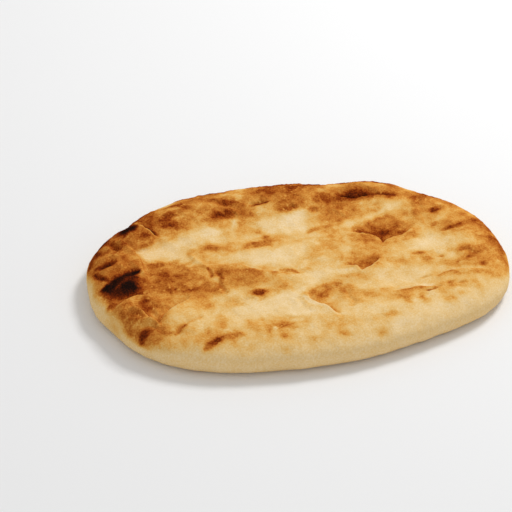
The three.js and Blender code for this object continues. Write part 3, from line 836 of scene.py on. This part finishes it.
# %% Toast marks of the right end
RIGHT_END_SPOTS = [
    (45, 53, 9, 4, 0, 0.88, 0.6),  # scorched pocket
    (43, 50.2, 5.5, 1.5, -3, 1.16), (46, 52.6, 4, 2, 0, 0.98), (54, 51, 3, 3, 0, 0.84),
    (46, 58.4, 6, 1.8, 0, 0.42), (32, 50, 4, 4, 0, 0.7), (38, 54, 4, 2, 20, 0.62),
    (30, 43.5, 3, 1.6, 0, 0.6), (41, 43, 4, 1.6, -5, 0.66), (33, 41, 2, 1.6, 0, 0.7),
    (28, 38, 3, 3, 0, 0.56), (36, 35.6, 11, 3, 4, 0.76), (42, 38, 2.4, 3, 0, 0.48), (29, 34, 2, 2, 0, 0.3),
    (58, 57, 7, 2.6, -5, 0.26), (58, 50, 3, 2, 0, 0.5), (67.5, 42.6, 4, 4, 0, 0.96),
    (74, 43, 2.4, 2.6, 0, 0.46), (68, 54, 2.4, 3.6, 0, 0.6), (72, 47, 1.8, 2, 0, 0.34),
    (54, 38.5, 9, 2.6, 5, 0.22), (55, 39.3, 2.4, 1.2, 0, 0.5), (53, 32, 7, 2, 8, 0.2),
    (62, 36, 8, 3, 5, 0.1), (49, 27.5, 3, 2, 0, 0.22), (69, 24, 3.6, 3, 0, 0.14), (73, 37, 3, 2, 0, 0.2),
    (51.4, 15.2, 4.8, 2.2, 25, 1, 0.6),  # core of the sunken blister
    (45, 14.4, 3.4, 1.2, 10, 0.76), (61, 13.8, 3, 1.5, 15, 0.84), (57, 20, 4, 1.6, -10, 0.74),
    (60, 17, 2, 2, 0, 0.6), (46, 20.5, 3, 1.4, 10, 0.72), (42, 22, 3, 1.4, 30, 0.6),
    (57, 26.5, 3.4, 1.5, 0, 0.58), (63, 22, 2.5, 2, 0, 0.5), (51, 21, 3, 1.5, 0, 0.5),
    (45, 10, 3, 3, 0, 0.6), (42, 9, 2, 3, 20, 0.58), (47, 5.5, 1.6, 3, -20, 0.6),
    (40.5, 15, 1.2, 1, 0, 0.1), (67, 10, 4, 2.6, 40, 0.52), (70, 14, 3, 3, 0, 0.34),
    (56, 6.5, 4, 2, 35, 0.5), (63, 11, 3, 1.6, 35, 0.52), (79, 36, 8, 2.2, 88, 0.66),
    (86, 27, 4.2, 2, 28, 1.04, 0.6), (82, 42, 5, 4, -40, 0.6), (88, 37, 4, 4, -40, 0.5),
    (77, 27, 3, 2, 70, 0.58), (67, 30, 3, 2, 0, 0.4), (75, 22, 2.4, 2, 0, 0.5), (92, 30, 3, 3, -50, 0.42),
    (97, 27, 3, 3, -50, 0.52), (74, 3, 14, 4.6, 0, 0.05), (86, 2, 5, 3, 0, 0.16),
    (87.5, 8.3, 4, 1.2, 0, 0.76), (94.4, 8.2, 2.2, 1.8, 20, 0.9), (87, 13, 3.4, 2, -10, 0.58),
    (81, 14.5, 2, 1.4, 0, 0.5), (102, 12, 4, 2.4, 30, 0.62), (103, 2, 4, 3, 0, 0.56),
    (94, -2, 4, 4, 0, 0.26), (106, -6, 3.4, 5, 20, 0.62), (111.5, -8, 3, 9, 5, 0.86),
    (104, -4, 2, 2, 0, 0.76), (93, -14.5, 5, 3, -40, 0.68), (98, -10, 4, 2, 0, 0.4),
    (91, -20.2, 1.8, 1.3, 0, 0.82), (96, -27.2, 2.6, 2, 0, 0.8), (82, -21.5, 2.6, 1.6, 10, 0.56),
    (87.5, -24, 1.4, 2.4, 20, 0.58), (102, -21, 2.4, 4, -10, 0.46), (79, -25, 2, 1.4, 0, 0.5),
    (110, -22, 2, 5, 0, 0.66), (84, -11, 3, 2, 0, 0.46), (88, -12, 3, 1.5, -20, 0.62),
    (65, -8.2, 3.2, 1.5, 0, 0.8), (75.3, -11, 0.8, 0.8, 0, 0.6), (77, -14, 1, 0.9, 0, 0.76),
    (78, -10, 3, 2, 0, 0.14), (82, -15, 2.5, 2, 0, 0.16), (33, -11, 2.2, 4.6, -10, 0.72, 0.5),
    (27.5, -12.2, 2, 0.7, 15, 0.74, 0.5), (28.6, -10.4, 1.6, 1.6, 0, 0.08, 0.5),
    (39.5, -7.5, 2.2, 5.6, -50, 0.74), (36.4, -12, 2.4, 2.6, 0, 0.68), (36.5, -1, 5, 3, 0, 0.46),
    (28, 3, 3, 2.4, 0, 0.16), (29, -6, 3, 2, 0, 0.5), (39, -13, 3, 2.4, 0, 0.42),
    (49, -11, 2.6, 3.6, 0, 0.36), (56, -13, 2, 3, 0, 0.38), (68, -14, 3, 2.6, 0, 0.44),
    (60, -10, 3, 2, 0, 0.32), (54, -24, 4, 3, 0, 0.22), (44, -28, 9, 3, 0, 0.16),
    (60, -32, 6, 2.4, 0, 0.18), (46, 47.8, 15, 1.8, -3, 0.84), (63, 63, 8, 3.4, -15, 0.92),
    (85, 47.4, 6, 3.2, -40, 0.9), (43, 65, 3, 4, 0, 0.94), (52, 66, 3, 3, 0, 0.9), (35, 62.4, 4, 3, 0, 0.3),
    (78.5, 52, 3, 3, 0, 0.34), (99, 19.5, 5, 2.6, -50, 0.57), (105, 10.5, 4, 2, -55, 0.68),
    (78, 21.5, 3, 2.6, 0, 0.28), (103, 1, 5, 3, 0, 0.4), (109, 12, 3, 3, 0, 0.72), (88, -2, 5, 4, 0, 0.18),
    (90, 4.4, 6, 1.5, -8, 0.42), (91, -23, 4, 2, 0, 0.42), (104, -24.5, 4, 2, 0, 0.5),
    (75, -19.5, 3.4, 2, 0, 0.44), (53, 3.5, 3, 1.6, 0, 0.42), (66, 8, 6, 3, 30, 0.46),
    (27.5, -9, 2.6, 2, 0, 0.5), (29, -18.4, 4, 1.4, 0, 0.1), (49, 42, 5, 1.6, 0, 0.3),
    (53, 36, 4, 2, 0, 0.4), (36, 36.4, 9, 2, 4, 0.66), (50, 29.6, 6, 1.6, 8, 0.16),
    (36, 18.6, 3, 2, 0, 0.24), (76, 27, 3, 2.6, 0, 0.62), (98, 29, 5, 3, -55, 0.54),
    (49, 20.4, 6, 2.8, 10, 0.68), (58, 21.5, 6, 3.6, 10, 0.72), (55, 26, 5, 2.4, 10, 0.6),
    (43, 20.6, 3.6, 2, 0, 0.64), (96, 3, 4, 2.4, 0, 0.54), (106.6, 11.7, 2.6, 2.4, 0, 0.8),
    (78.8, 39.1, 3.4, 3, 30, 0.78), (107.3, -22, 2.2, 3.2, 0, 0.6),
]
RIGHT_END_STREAKS = [
    ([(50, 49), (58, 48), (67, 45.6)], 1, 0.88),
    ([(41, 16.8), (45, 15.6), (48.8, 13), (50, 8)], 1.1, 0.9),
    ([(32.5, -16), (37, -12), (42.5, -8)], 1.8, 0.76),
]
paint_marks("the right end", RIGHT_END_SPOTS, RIGHT_END_STREAKS)

# %% [markdown]
# ## Front
# The front is the palest part, with a crescent-shaped dent that browned inside, a line of freckles along
# the front rim and a few lone spots. Pale spots clear the skin first, so that the few brown ones stand out.

# %% Toast marks of the front
FRONT_SPOTS = [
    (0, -25.4, 11, 2, 20, 0.08), (14, -15.5, 14, 3, -4, 0.1), (14, -50, 12, 5, 0, 0.1),
    (-5, -62, 4, 7, 0, 0.12), (5.4, -33, 6.6, 4, 30, 0.71, 0.6), (12, -28.6, 6, 2.4, 22, 0.6),
    (6.4, -31.6, 3, 1.9, 25, 0.98), (12, -35, 3, 4, 0, 0.26), (1, -34, 1.8, 2.6, 20, 0.74),
    (6.4, -40, 1.6, 5, 22, 0.56), (18.5, -31.5, 3, 2.8, 0, 0.6), (19, -37, 1.8, 3.4, 0, 0.46),
    (18, -44, 1.2, 4, -10, 0.36), (27, -36, 4, 2.6, 0, 0.48), (24, -43, 3, 3, 0, 0.36),
    (14, -38, 3.4, 5, 0, 0.24), (24, -19.6, 6, 1.4, -6, 0.5), (31, -23.5, 3.6, 1.4, -25, 0.34),
    (2.4, -9, 1.8, 1.2, 20, 0.38), (-38, -51, 1.2, 3.4, 10, 0.46), (-35, -56, 1.6, 1.6, 0, 0.4),
    (-31, -48.3, 1.5, 1.2, 0, 0.42), (-19.4, -53.8, 5.6, 2.4, 5, 0.68), (-24, -56, 2, 1.6, 0, 0.66),
    (-26, -57.3, 1.2, 1.2, 0, 0.12), (-30, -58.5, 1.8, 1.6, 0, 0.46), (-23, -63.5, 1.8, 1.5, 10, 0.56),
    (-22.5, -72.3, 1.6, 1.3, 0, 0.4), (4, -58, 3.6, 3, 0, 0.44), (7, -61, 1.4, 1, 0, 0.42),
    (8, -66.4, 2.4, 1.3, 0, 0.4), (13.5, -62, 1.8, 2.4, -20, 0.4), (-6, -68, 3, 2, 0, 0.3),
    (28.5, -71.4, 2.4, 3, 0, 0.46), (35.5, -58.2, 2.8, 2.4, 0, 0.44), (37, -36, 1.8, 1.6, 0, 0.48),
    (38, -40, 1.6, 2.6, 0, 0.36), (28, -62, 4, 2, 0, 0.28), (45.6, -41.6, 1.8, 2.4, 10, 0.6),
    (47, -48, 1.8, 3.4, 0, 0.48), (48, -51.3, 1.4, 1, 0, 0.54), (55.5, -49, 1.4, 2.8, 15, 0.46),
    (57, -51.5, 1.2, 1, 0, 0.42), (54, -40.5, 4, 1.6, 0, 0.48), (70.5, -51.5, 2.4, 2, 0, 0.44),
    (77, -48.6, 1.6, 1.2, 0, 0.4), (88, -45.4, 2.4, 1.8, 20, 0.38), (68, -46, 2, 2.6, 0, 0.36),
    (74, -39.4, 1.6, 1.2, 10, 0.76), (80, -40.7, 2.4, 0.9, -5, 0.62), (75, -42, 2, 1.4, 0, 0.5),
    (66, -41.2, 1.5, 0.9, 20, 0.74), (67, -36, 2, 2, 0, 0.34), (72, -32.5, 2, 1.6, 0, 0.46),
    (86, -33.5, 4, 1.6, -10, 0.42), (78, -35, 5, 1.8, 0, 0.18), (97, -34, 3, 2, 0, 0.46),
    (3.6, -36.2, 4.4, 2.8, 35, 0.7), (6, -4, 8, 2.4, 0, 0.26), (17, -34, 3.4, 3, 0, 0.5),
    (83, -32, 4, 2, 0, 0.4), (69, -33, 2, 4, 0, 0.22), (57.4, -42.6, 2.2, 1.6, 0, 0.24),
    (31, -30, 6, 2.6, 0, 0.18), (21.5, -25.2, 4, 1.6, 0, 0.22), (5.6, -26, 4.4, 1.9, 26, 0.74),
    (0.2, -34, 2.6, 2.6, 0, 0.68), (2.6, -35.4, 3.8, 2.2, -30, 0.78), (6.2, -31, 3, 1.8, 25, 1, 0.5),
    (18.6, -30.8, 2.8, 2.2, 0, 0.76), (9, -58.3, 3.6, 3, 0, 0.2), (-13, -52.4, 5, 1.6, 0, 0.18),
]
FRONT_STREAKS = [
    ([(-1, -33), (2.5, -28), (8, -25.2), (16, -23.6)], 1.2, 0.6),
    ([(6.6, -30.6), (10, -28.6), (13.5, -26.4), (17.4, -24.4)], 1.1, 0.76, 0.5),
    ([(46, -40), (53, -38.2), (60, -39.6)], 1.3, 0.56),
    ([(60, -43), (62, -43.4), (64.5, -42.8)], 0.5, 0.8),
    ([(70, -30), (77, -28.8), (85, -30)], 1.3, 0.66),
    ([(61, -29), (64, -28.6), (67, -28.4)], 0.6, 0.36),
    ([(-4.6, -33), (-2.6, -38), (1.6, -41.6), (4.6, -45.4), (6, -49)], 1.7, 0.1, 0.5),
]
paint_marks("the front", FRONT_SPOTS, FRONT_STREAKS)

# %% [markdown]
# ## Toast along the folds
# The foot of a fold is darkened, partly with the toast of the bubble's inside and partly with painted shade
# where the crease lies in shadow, and its lip shows a thin line of its own, mostly paler. Both follow the
# fold's path, so they stay exactly on its step.

# %% Toast along the folds
GROOVE_WIDTH, LIP_WIDTH = 1.6, 0.8
FOLD_TINT = 0.7  # how far a fold's own levels take the place of what is there
FOLD_OVERLAP = 0.3  # how far each tint passes the fold's line
FOLD_TINT_MARGIN = 6  # beyond it a fold's tint is no longer felt
for fold in FOLDS:
    here = near_path(fold.path, FOLD_TINT_MARGIN)
    _, rightward, along = along_path(ripple_x[here], ripple_y[here], fold.path)
    # The groove tint is partly painted shade in the crease at the fold's foot
    groove_shade = run_out(along) * bell((rightward + GROOVE_WIDTH) / GROOVE_WIDTH) * (rightward < FOLD_OVERLAP)
    lip = run_out(along) * bell((rightward - LIP_WIDTH) / LIP_WIDTH) * (rightward > -FOLD_OVERLAP)
    toast[here] += FOLD_TINT * (fold.groove_shade - toast[here]) * groove_shade
    toast[here] += FOLD_TINT * (fold.lip - toast[here]) * lip
print("toast of the top, mean and most:", round(toast[on_top].mean(), 3), round(toast.max(), 2))

# %% [markdown]
# ## Mottling and painted glints
# Toast is never even: it is clouded where the dough was thicker or thinner, most of all where it is half
# browned. Browned skin also gets small round pale specks, painted glints that stand in for highlights on
# glossy blisters. Noise that swirls with the marks gives the clouds, and scattered domes, cut off at a
# level, give the painted glints.

# %% Mottling and painted glints
# Strength, size, seed
MOTTLES = [(0.16, 5.5, 41), (0.09, 2.6, 42)]
DRIFT = [(0.04, 16, 43)]
PALE_MOTTLING, CHAR_LOSS = 0.25, 0.5  # share of the mottling that cream skin shows, and that char loses
CREAM_TO_GOLD, BROWN_TO_CHAR = (0.05, 0.4), (0.75, 1.1)  # toast levels
# Painted glints: pale specks taken out of the toast of browned skin, standing in for highlights on glossy
# blisters
GLINT_SIZE, GLINT_STRENGTH = 3.4, 0.3
GLINT_EDGE, GLINT_GROUPS = (0.55, 0.95), (0, 0.3)  # of the domes, and of the noise that gathers them
GLINTS_BEGIN, GLINTS_END = (0.5, 0.7), (0.85, 1)  # toast levels
half_browned = smoothstep(*CREAM_TO_GOLD, toast) * (1 - CHAR_LOSS * smoothstep(*BROWN_TO_CHAR, toast))
swirl = points + np.column_stack([wander_x, wander_y, np.zeros_like(wander_x)])
toast += layered_noise(swirl, MOTTLES) * (PALE_MOTTLING + half_browned) + layered_noise(points, DRIFT)
painted_glints = smoothstep(*GLINT_EDGE, domes(points, GLINT_SIZE, seed=48))
painted_glints *= smoothstep(*GLINT_GROUPS, noise(points, size=8, seed=49))
toast -= GLINT_STRENGTH * painted_glints * smoothstep(*GLINTS_BEGIN, toast) * (1 - smoothstep(*GLINTS_END, toast))
print("share of the top that is flecked:", round(np.mean(painted_glints[on_top] > 0.5), 3))

# %% [markdown]
# ## Side and underside
# The side saw less heat and stays pale, so the marks fade where the rim turns down, lower at the back than
# in front and lowest at a burnt corner. A dent in the side at the front left is darkened with painted shade
# on top of its real hollow. The underside lay on the hot stone and has round brown spots. A level that
# depends on the height could do the fading alone, but a ragged one looks baked.

# %% Side and underside
FADE_LOW, FADE_SPAN = 11, 6  # in front the toast sets in at this height and is full that much higher
BACK_LOWER, CORNER_LOWER = 3.5, 5  # how much lower it sets in at the back and at the burnt corner
FRONT_TO_BACK, BACK_SLANT = (-45, 15), 0.25  # where front becomes back, and how that line slants
BURNT_CORNER, BURNT_SIZE = (-92, -44), 14  # its place in plan, and how far it spreads
RAGGED, RAGGED_BACK = 1.6, 2  # how far the height of the fade strays, and how much more at the back
ABOVE_WAIST = 3  # toast grows in from the widest line up to here
DENT_AT, DENT_SIZE = (-107, -28, 9), (6, 8, 5)  # mm in x, y and z
# The last toast level is painted shade in the side dent, on top of its real hollow of DENT_DEPTH
SIDE_LEVEL, SIDE_CLOUDS, DENT_PAINTED_SHADE = 0.11, 0.03, 0.18  # toast
UNDER_LEVEL, UNDER_GLOW, UNDER_SPOTS = 0.1, 0.18, 0.42
UNDER_HEIGHTS = (2, 0.1)  # the underside's own toast grows in between these heights
GLOW_EDGE, SPOT_EDGE, SPOT_RAGGED = (-0.4, 0.6), (0.1, 0.8), 0.3  # of the noise they are cut from
MOST_TOAST = 1.25
backward = smoothstep(*FRONT_TO_BACK, plan_y + BACK_SLANT * plan_x)
burnt_corner = bell(np.hypot(plan_x - BURNT_CORNER[0], plan_y - BURNT_CORNER[1]) / BURNT_SIZE)
fade_low = FADE_LOW - BACK_LOWER * backward - CORNER_LOWER * burnt_corner
ragged = RAGGED * noise(points, size=7, seed=44)
ragged += RAGGED_BACK * backward * noise(points, size=12, seed=50)
turned_up = smoothstep(fade_low, fade_low + FADE_SPAN, height + ragged)
turned_up *= smoothstep(WAIST, WAIST + ABOVE_WAIST, height) * on_top
glow = smoothstep(*GLOW_EDGE, noise(points, size=32, seed=45))
stone_spots = noise(swirl, size=13, seed=46) + SPOT_RAGGED * noise(points, size=8, seed=59)
stone_spots = smoothstep(*SPOT_EDGE, stone_spots)
on_the_stone = smoothstep(*UNDER_HEIGHTS, height)
underneath = UNDER_LEVEL + (UNDER_GLOW * glow + UNDER_SPOTS * stone_spots) * on_the_stone
dented = bell(np.linalg.norm((points - DENT_AT) / DENT_SIZE, axis=1))
side_toast = np.where(on_top, SIDE_LEVEL, underneath)
# Painted shade darkens the side dent
side_toast = side_toast + SIDE_CLOUDS * noise(points, size=6, seed=47) + DENT_PAINTED_SHADE * dented
toast = np.clip(side_toast + (toast - side_toast) * turned_up, 0, MOST_TOAST)
print("toast, lowest, mean and highest:", np.round([toast.min(), toast.mean(), toast.max()], 2))

# %% [markdown]
# ## Skin
# Close up the skin is dimpled and puckered, and scorched skin is covered in pin-head blisters. This relief
# is real, so the points move along the surface's own normals; a bump in the material alone would leave the
# edge smooth. Puckers follow the zero lines of a noise, which run on like creases. The underside stays
# flat.

# %% Skin relief
SCORCHED = (0.35, 0.75)  # toast levels
# Heights in mm
BROAD_SWELL, SMALL_SWELL, FINE_SWELL, FINE_SCORCHED = 0.5, 0.4, 0.12, 0.22
LARGE_BLISTERS, SMALL_BLISTERS, GRAIN = 0.22, 0.1, 0.03
PUCKERS, PUCKERS_SCORCHED, DENT_DEPTH = 0.08, 0.18, 1.8
RIDGE_WIDTH, CREASE_WIDTH = 0.16, 0.12  # how far from its zero line the noise still counts as one
PUCKERED_INSETS, HEEL_HEIGHTS = (3, 14), (0, 4)  # relief grows in between these


def point_normals(points, triangles):
    """Unit normals: the sum of the cross products of the triangles round each point, made unit long."""
    corners = points[triangles]
    cross = np.cross(corners[:, 1] - corners[:, 0], corners[:, 2] - corners[:, 0])
    flat = triangles.ravel()
    total = np.column_stack([np.bincount(flat, np.repeat(cross[:, k], 3), len(points)) for k in range(3)])
    return total / np.linalg.norm(total, axis=1)[:, None]


scorched = smoothstep(*SCORCHED, toast)
relief = BROAD_SWELL * noise(points, size=24, seed=51) + SMALL_SWELL * noise(swirl, size=8, seed=52)
relief += (FINE_SWELL + FINE_SCORCHED * scorched) * noise(swirl, size=4, seed=53)
blisters = LARGE_BLISTERS * domes(points, size=3.6, seed=54)
blisters += SMALL_BLISTERS * domes(points, size=1.9, seed=55)
relief += scorched * blisters
relief += GRAIN * noise(points, size=1.6, seed=56)
ridges = smoothstep(RIDGE_WIDTH, 0, np.abs(noise(swirl, size=8, seed=57)))
creases = smoothstep(CREASE_WIDTH, 0, np.abs(noise(swirl, size=10, seed=58)))
pucker_height = (PUCKERS + PUCKERS_SCORCHED * scorched) * on_top * smoothstep(*PUCKERED_INSETS, inset)
relief += pucker_height * (ridges - creases) - DENT_DEPTH * dented
free = np.where(on_top, 1, smoothstep(*HEEL_HEIGHTS, height))
points += (relief * free)[:, None] * point_normals(points, triangles)
points[:, 2] = np.maximum(points[:, 2], 0)
print("finished surface, mm:", np.round(np.ptp(points, axis=0), 1))

# %% [markdown]
# ## Mesh
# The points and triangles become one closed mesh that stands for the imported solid. The toast level goes
# with each point, for the material to read.

# %% Mesh
mesh = bpy.data.meshes.new("naan_skin")
mesh.from_pydata((points * MM).tolist(), [], triangles.tolist())
mesh.attributes.new("toast", "FLOAT", "POINT").data.foreach_set("value", toast.astype(np.float32))
mesh.shade_smooth()
naan = bpy.data.objects.new("naan_skin", mesh)
bpy.context.scene.collection.objects.link(naan)
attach(naan, "root")
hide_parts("naan")
print("faults mended in the mesh:", mesh.validate())

# %% [markdown]
# ## Material
# Baked bread is fully matt. Its colour follows from how far the sugars in it have browned, so one ramp from
# cream to char serves for all of it, and no picture is needed. Noise finer than the mesh breaks the toast
# level up into specks before the ramp, weaker ones on pale skin, and a fine bump gives the skin its floury
# grain.

# %% Toast colours
# Toast level and the sRGB colour there
TOAST_COLOURS = [
    (0, (235, 209, 166)), (0.1, (228, 196, 141)), (0.22, (221, 179, 110)), (0.35, (216, 162, 84)),
    (0.48, (205, 139, 60)), (0.6, (188, 115, 45)), (0.72, (167, 92, 31)), (0.84, (138, 60, 17)),
    (0.96, (103, 39, 13)), (1.08, (66, 26, 12)), (MOST_TOAST, (25, 16, 13)),
]


def linear(colour):
    """The linear light of an sRGB colour given from 0 to 255."""
    part = np.array(colour) / 255
    return np.where(part > 0.04045, ((part + 0.055) / 1.055) ** 2.4, part / 12.92)


print("cream in linear light:", np.round(linear(TOAST_COLOURS[0][1]), 2))

# %% Shader nodes
ROUGHNESS = 0.8
bread = bpy.data.materials.new("toasted bread")
bread.use_nodes = True
nodes, links = bread.node_tree.nodes, bread.node_tree.links
shader = nodes["Principled BSDF"]
shader.inputs["Specular IOR Level"].default_value = 0
shader.inputs["Roughness"].default_value = ROUGHNESS


def node(kind, **values):
    """A shader node with some of its properties set."""
    made = nodes.new(kind)
    for name, value in values.items():
        setattr(made, name, value)
    return made


def range_node(**values):
    """A node that maps one range to another, with some of the ends set by name."""
    made = node("ShaderNodeMapRange")
    for end, value in values.items():
        made.inputs[end.replace("_", " ").title()].default_value = value
    return made


def noise_node(size, detail):
    """Blender's noise in object coordinates, with features of a size in mm."""
    made = node("ShaderNodeTexNoise")
    made.inputs["Scale"].default_value = 1 / (size * MM)
    made.inputs["Detail"].default_value = detail
    links.new(place_node.outputs["Object"], made.inputs["Vector"])
    return made


place_node = node("ShaderNodeTexCoord")
level_node = node("ShaderNodeAttribute", attribute_name="toast")
print("nodes to begin with:", [made.name for made in nodes])

# %% Specks and colour
SPECK_SIZE, SPECK_SWING = 0.9, 0.27  # mm, and toast level up and down
SPECKS_ON_CREAM, SPECKS_ON_TOAST = 0.5, 1  # shares of that swing
SPECKED = (0.05, 0.45)  # toast levels between which the share grows
specks = noise_node(SPECK_SIZE, detail=2)
speck_swing = range_node(to_min=-SPECK_SWING, to_max=SPECK_SWING)
speck_share = range_node(
    from_min=SPECKED[0], from_max=SPECKED[1], to_min=SPECKS_ON_CREAM, to_max=SPECKS_ON_TOAST
)
uneven = node("ShaderNodeMath", operation="MULTIPLY")
speckled = node("ShaderNodeMath", operation="ADD")
share = node("ShaderNodeMath", operation="DIVIDE")
share.inputs[1].default_value = MOST_TOAST
ramp = node("ShaderNodeValToRGB")
stops = ramp.color_ramp.elements
for level, _ in TOAST_COLOURS[1:-1]:
    stops.new(level / MOST_TOAST)
for stop, (level, colour) in zip(stops, TOAST_COLOURS):
    stop.position = level / MOST_TOAST
    stop.color = (*linear(colour), 1)
links.new(specks.outputs["Fac"], speck_swing.inputs["Value"])
links.new(level_node.outputs["Fac"], speckled.inputs[0])
links.new(level_node.outputs["Fac"], speck_share.inputs["Value"])
links.new(speck_swing.outputs["Result"], uneven.inputs[0])
links.new(speck_share.outputs["Result"], uneven.inputs[1])
links.new(uneven.outputs["Value"], speckled.inputs[1])
links.new(speckled.outputs["Value"], share.inputs[0])
links.new(share.outputs["Value"], ramp.inputs["Fac"])
links.new(ramp.outputs["Color"], shader.inputs["Base Color"])
print("colours in the ramp:", len(stops))

# %% Floury grain
FLOUR_SIZE, FLOUR_DEPTH, FLOUR_STRENGTH = 0.9, 0.35, 0.7  # mm, mm, share of the full effect
flour = noise_node(FLOUR_SIZE, detail=4)
bump = node("ShaderNodeBump")
bump.inputs["Strength"].default_value = FLOUR_STRENGTH
bump.inputs["Distance"].default_value = FLOUR_DEPTH * MM
links.new(flour.outputs["Fac"], bump.inputs["Height"])
links.new(bump.outputs["Normal"], shader.inputs["Normal"])
mesh.materials.append(bread)
print("material nodes:", len(nodes))

# %% [markdown]
# ## Table, light and camera
# The bread lies on a pale table in bright, even surroundings. One softbox from behind on the right draws
# the folds and blisters with short shadows, and a weak fill keeps the front of the side from going dull.
# One lamp alone would leave the shadows black. The camera looks down at the angle of the photograph,
# through a long lens.

# %% Table
TABLE_SIZE = 6.0  # metres, as are the places of the lights and the camera
TABLE_GREY, TABLE_ROUGHNESS = 0.82, 0.9
half = TABLE_SIZE / 2
table_mesh = bpy.data.meshes.new("table")
table_corners = [(-half, -half, 0), (half, -half, 0), (half, half, 0), (-half, half, 0)]
table_mesh.from_pydata(table_corners, [], [(0, 1, 2, 3)])
table = bpy.data.objects.new("table", table_mesh)
bpy.context.scene.collection.objects.link(table)
paper = bpy.data.materials.new("pale table")
paper.use_nodes = True
paper_shader = paper.node_tree.nodes["Principled BSDF"]
paper_shader.inputs["Base Color"].default_value = (TABLE_GREY, TABLE_GREY, TABLE_GREY, 1)
paper_shader.inputs["Roughness"].default_value = TABLE_ROUGHNESS
table_mesh.materials.append(paper)
print("table, m:", TABLE_SIZE)

# %% Light
SURROUNDINGS = 0.64  # strength of the white all round
world = bpy.data.worlds.new("studio")
world.use_nodes = True
background = world.node_tree.nodes["Background"]
background.inputs["Color"].default_value = (1, 1, 1, 1)
background.inputs["Strength"].default_value = SURROUNDINGS
bpy.context.scene.world = world


def soft_light(name, at, size, watts):
    """A square area light of this size, facing the origin."""
    light = bpy.data.lights.new(name, "AREA")
    light.size = size
    light.energy = watts
    lamp = bpy.data.objects.new(name, light)
    lamp.location = at
    lamp.rotation_euler = (-Vector(at)).to_track_quat("-Z", "Y").to_euler()
    bpy.context.scene.collection.objects.link(lamp)
    return lamp


key = soft_light("key softbox", at=(0.7, 0.5, 1), size=0.35, watts=9.8)
fill = soft_light("front fill", at=(-0.1, -1.2, 0.6), size=1, watts=0.9)
print("key and fill, watts:", round(key.data.energy, 1), round(fill.data.energy, 1))

# %% Camera
AZIMUTH, ELEVATION, DISTANCE = math.radians(-12.5), math.radians(37), 0.95
LOOKS_AT = Vector((-19.7, 17.3, 8.2)) * MM
SENSOR, FOCAL_LENGTH = 36, 120.7  # mm
back = Vector((
    math.sin(AZIMUTH) * math.cos(ELEVATION), -math.cos(AZIMUTH) * math.cos(ELEVATION), math.sin(ELEVATION),
))
lens = bpy.data.cameras.new("camera")
lens.sensor_width, lens.lens = SENSOR, FOCAL_LENGTH
camera = bpy.data.objects.new("camera", lens)
camera.location = LOOKS_AT + back * DISTANCE
camera.rotation_euler = (-back).to_track_quat("-Z", "Y").to_euler()
bpy.context.scene.collection.objects.link(camera)
bpy.context.scene.camera = camera
bpy.context.scene.view_settings.view_transform = "Standard"
print("camera at, m:", [round(part, 3) for part in camera.location])
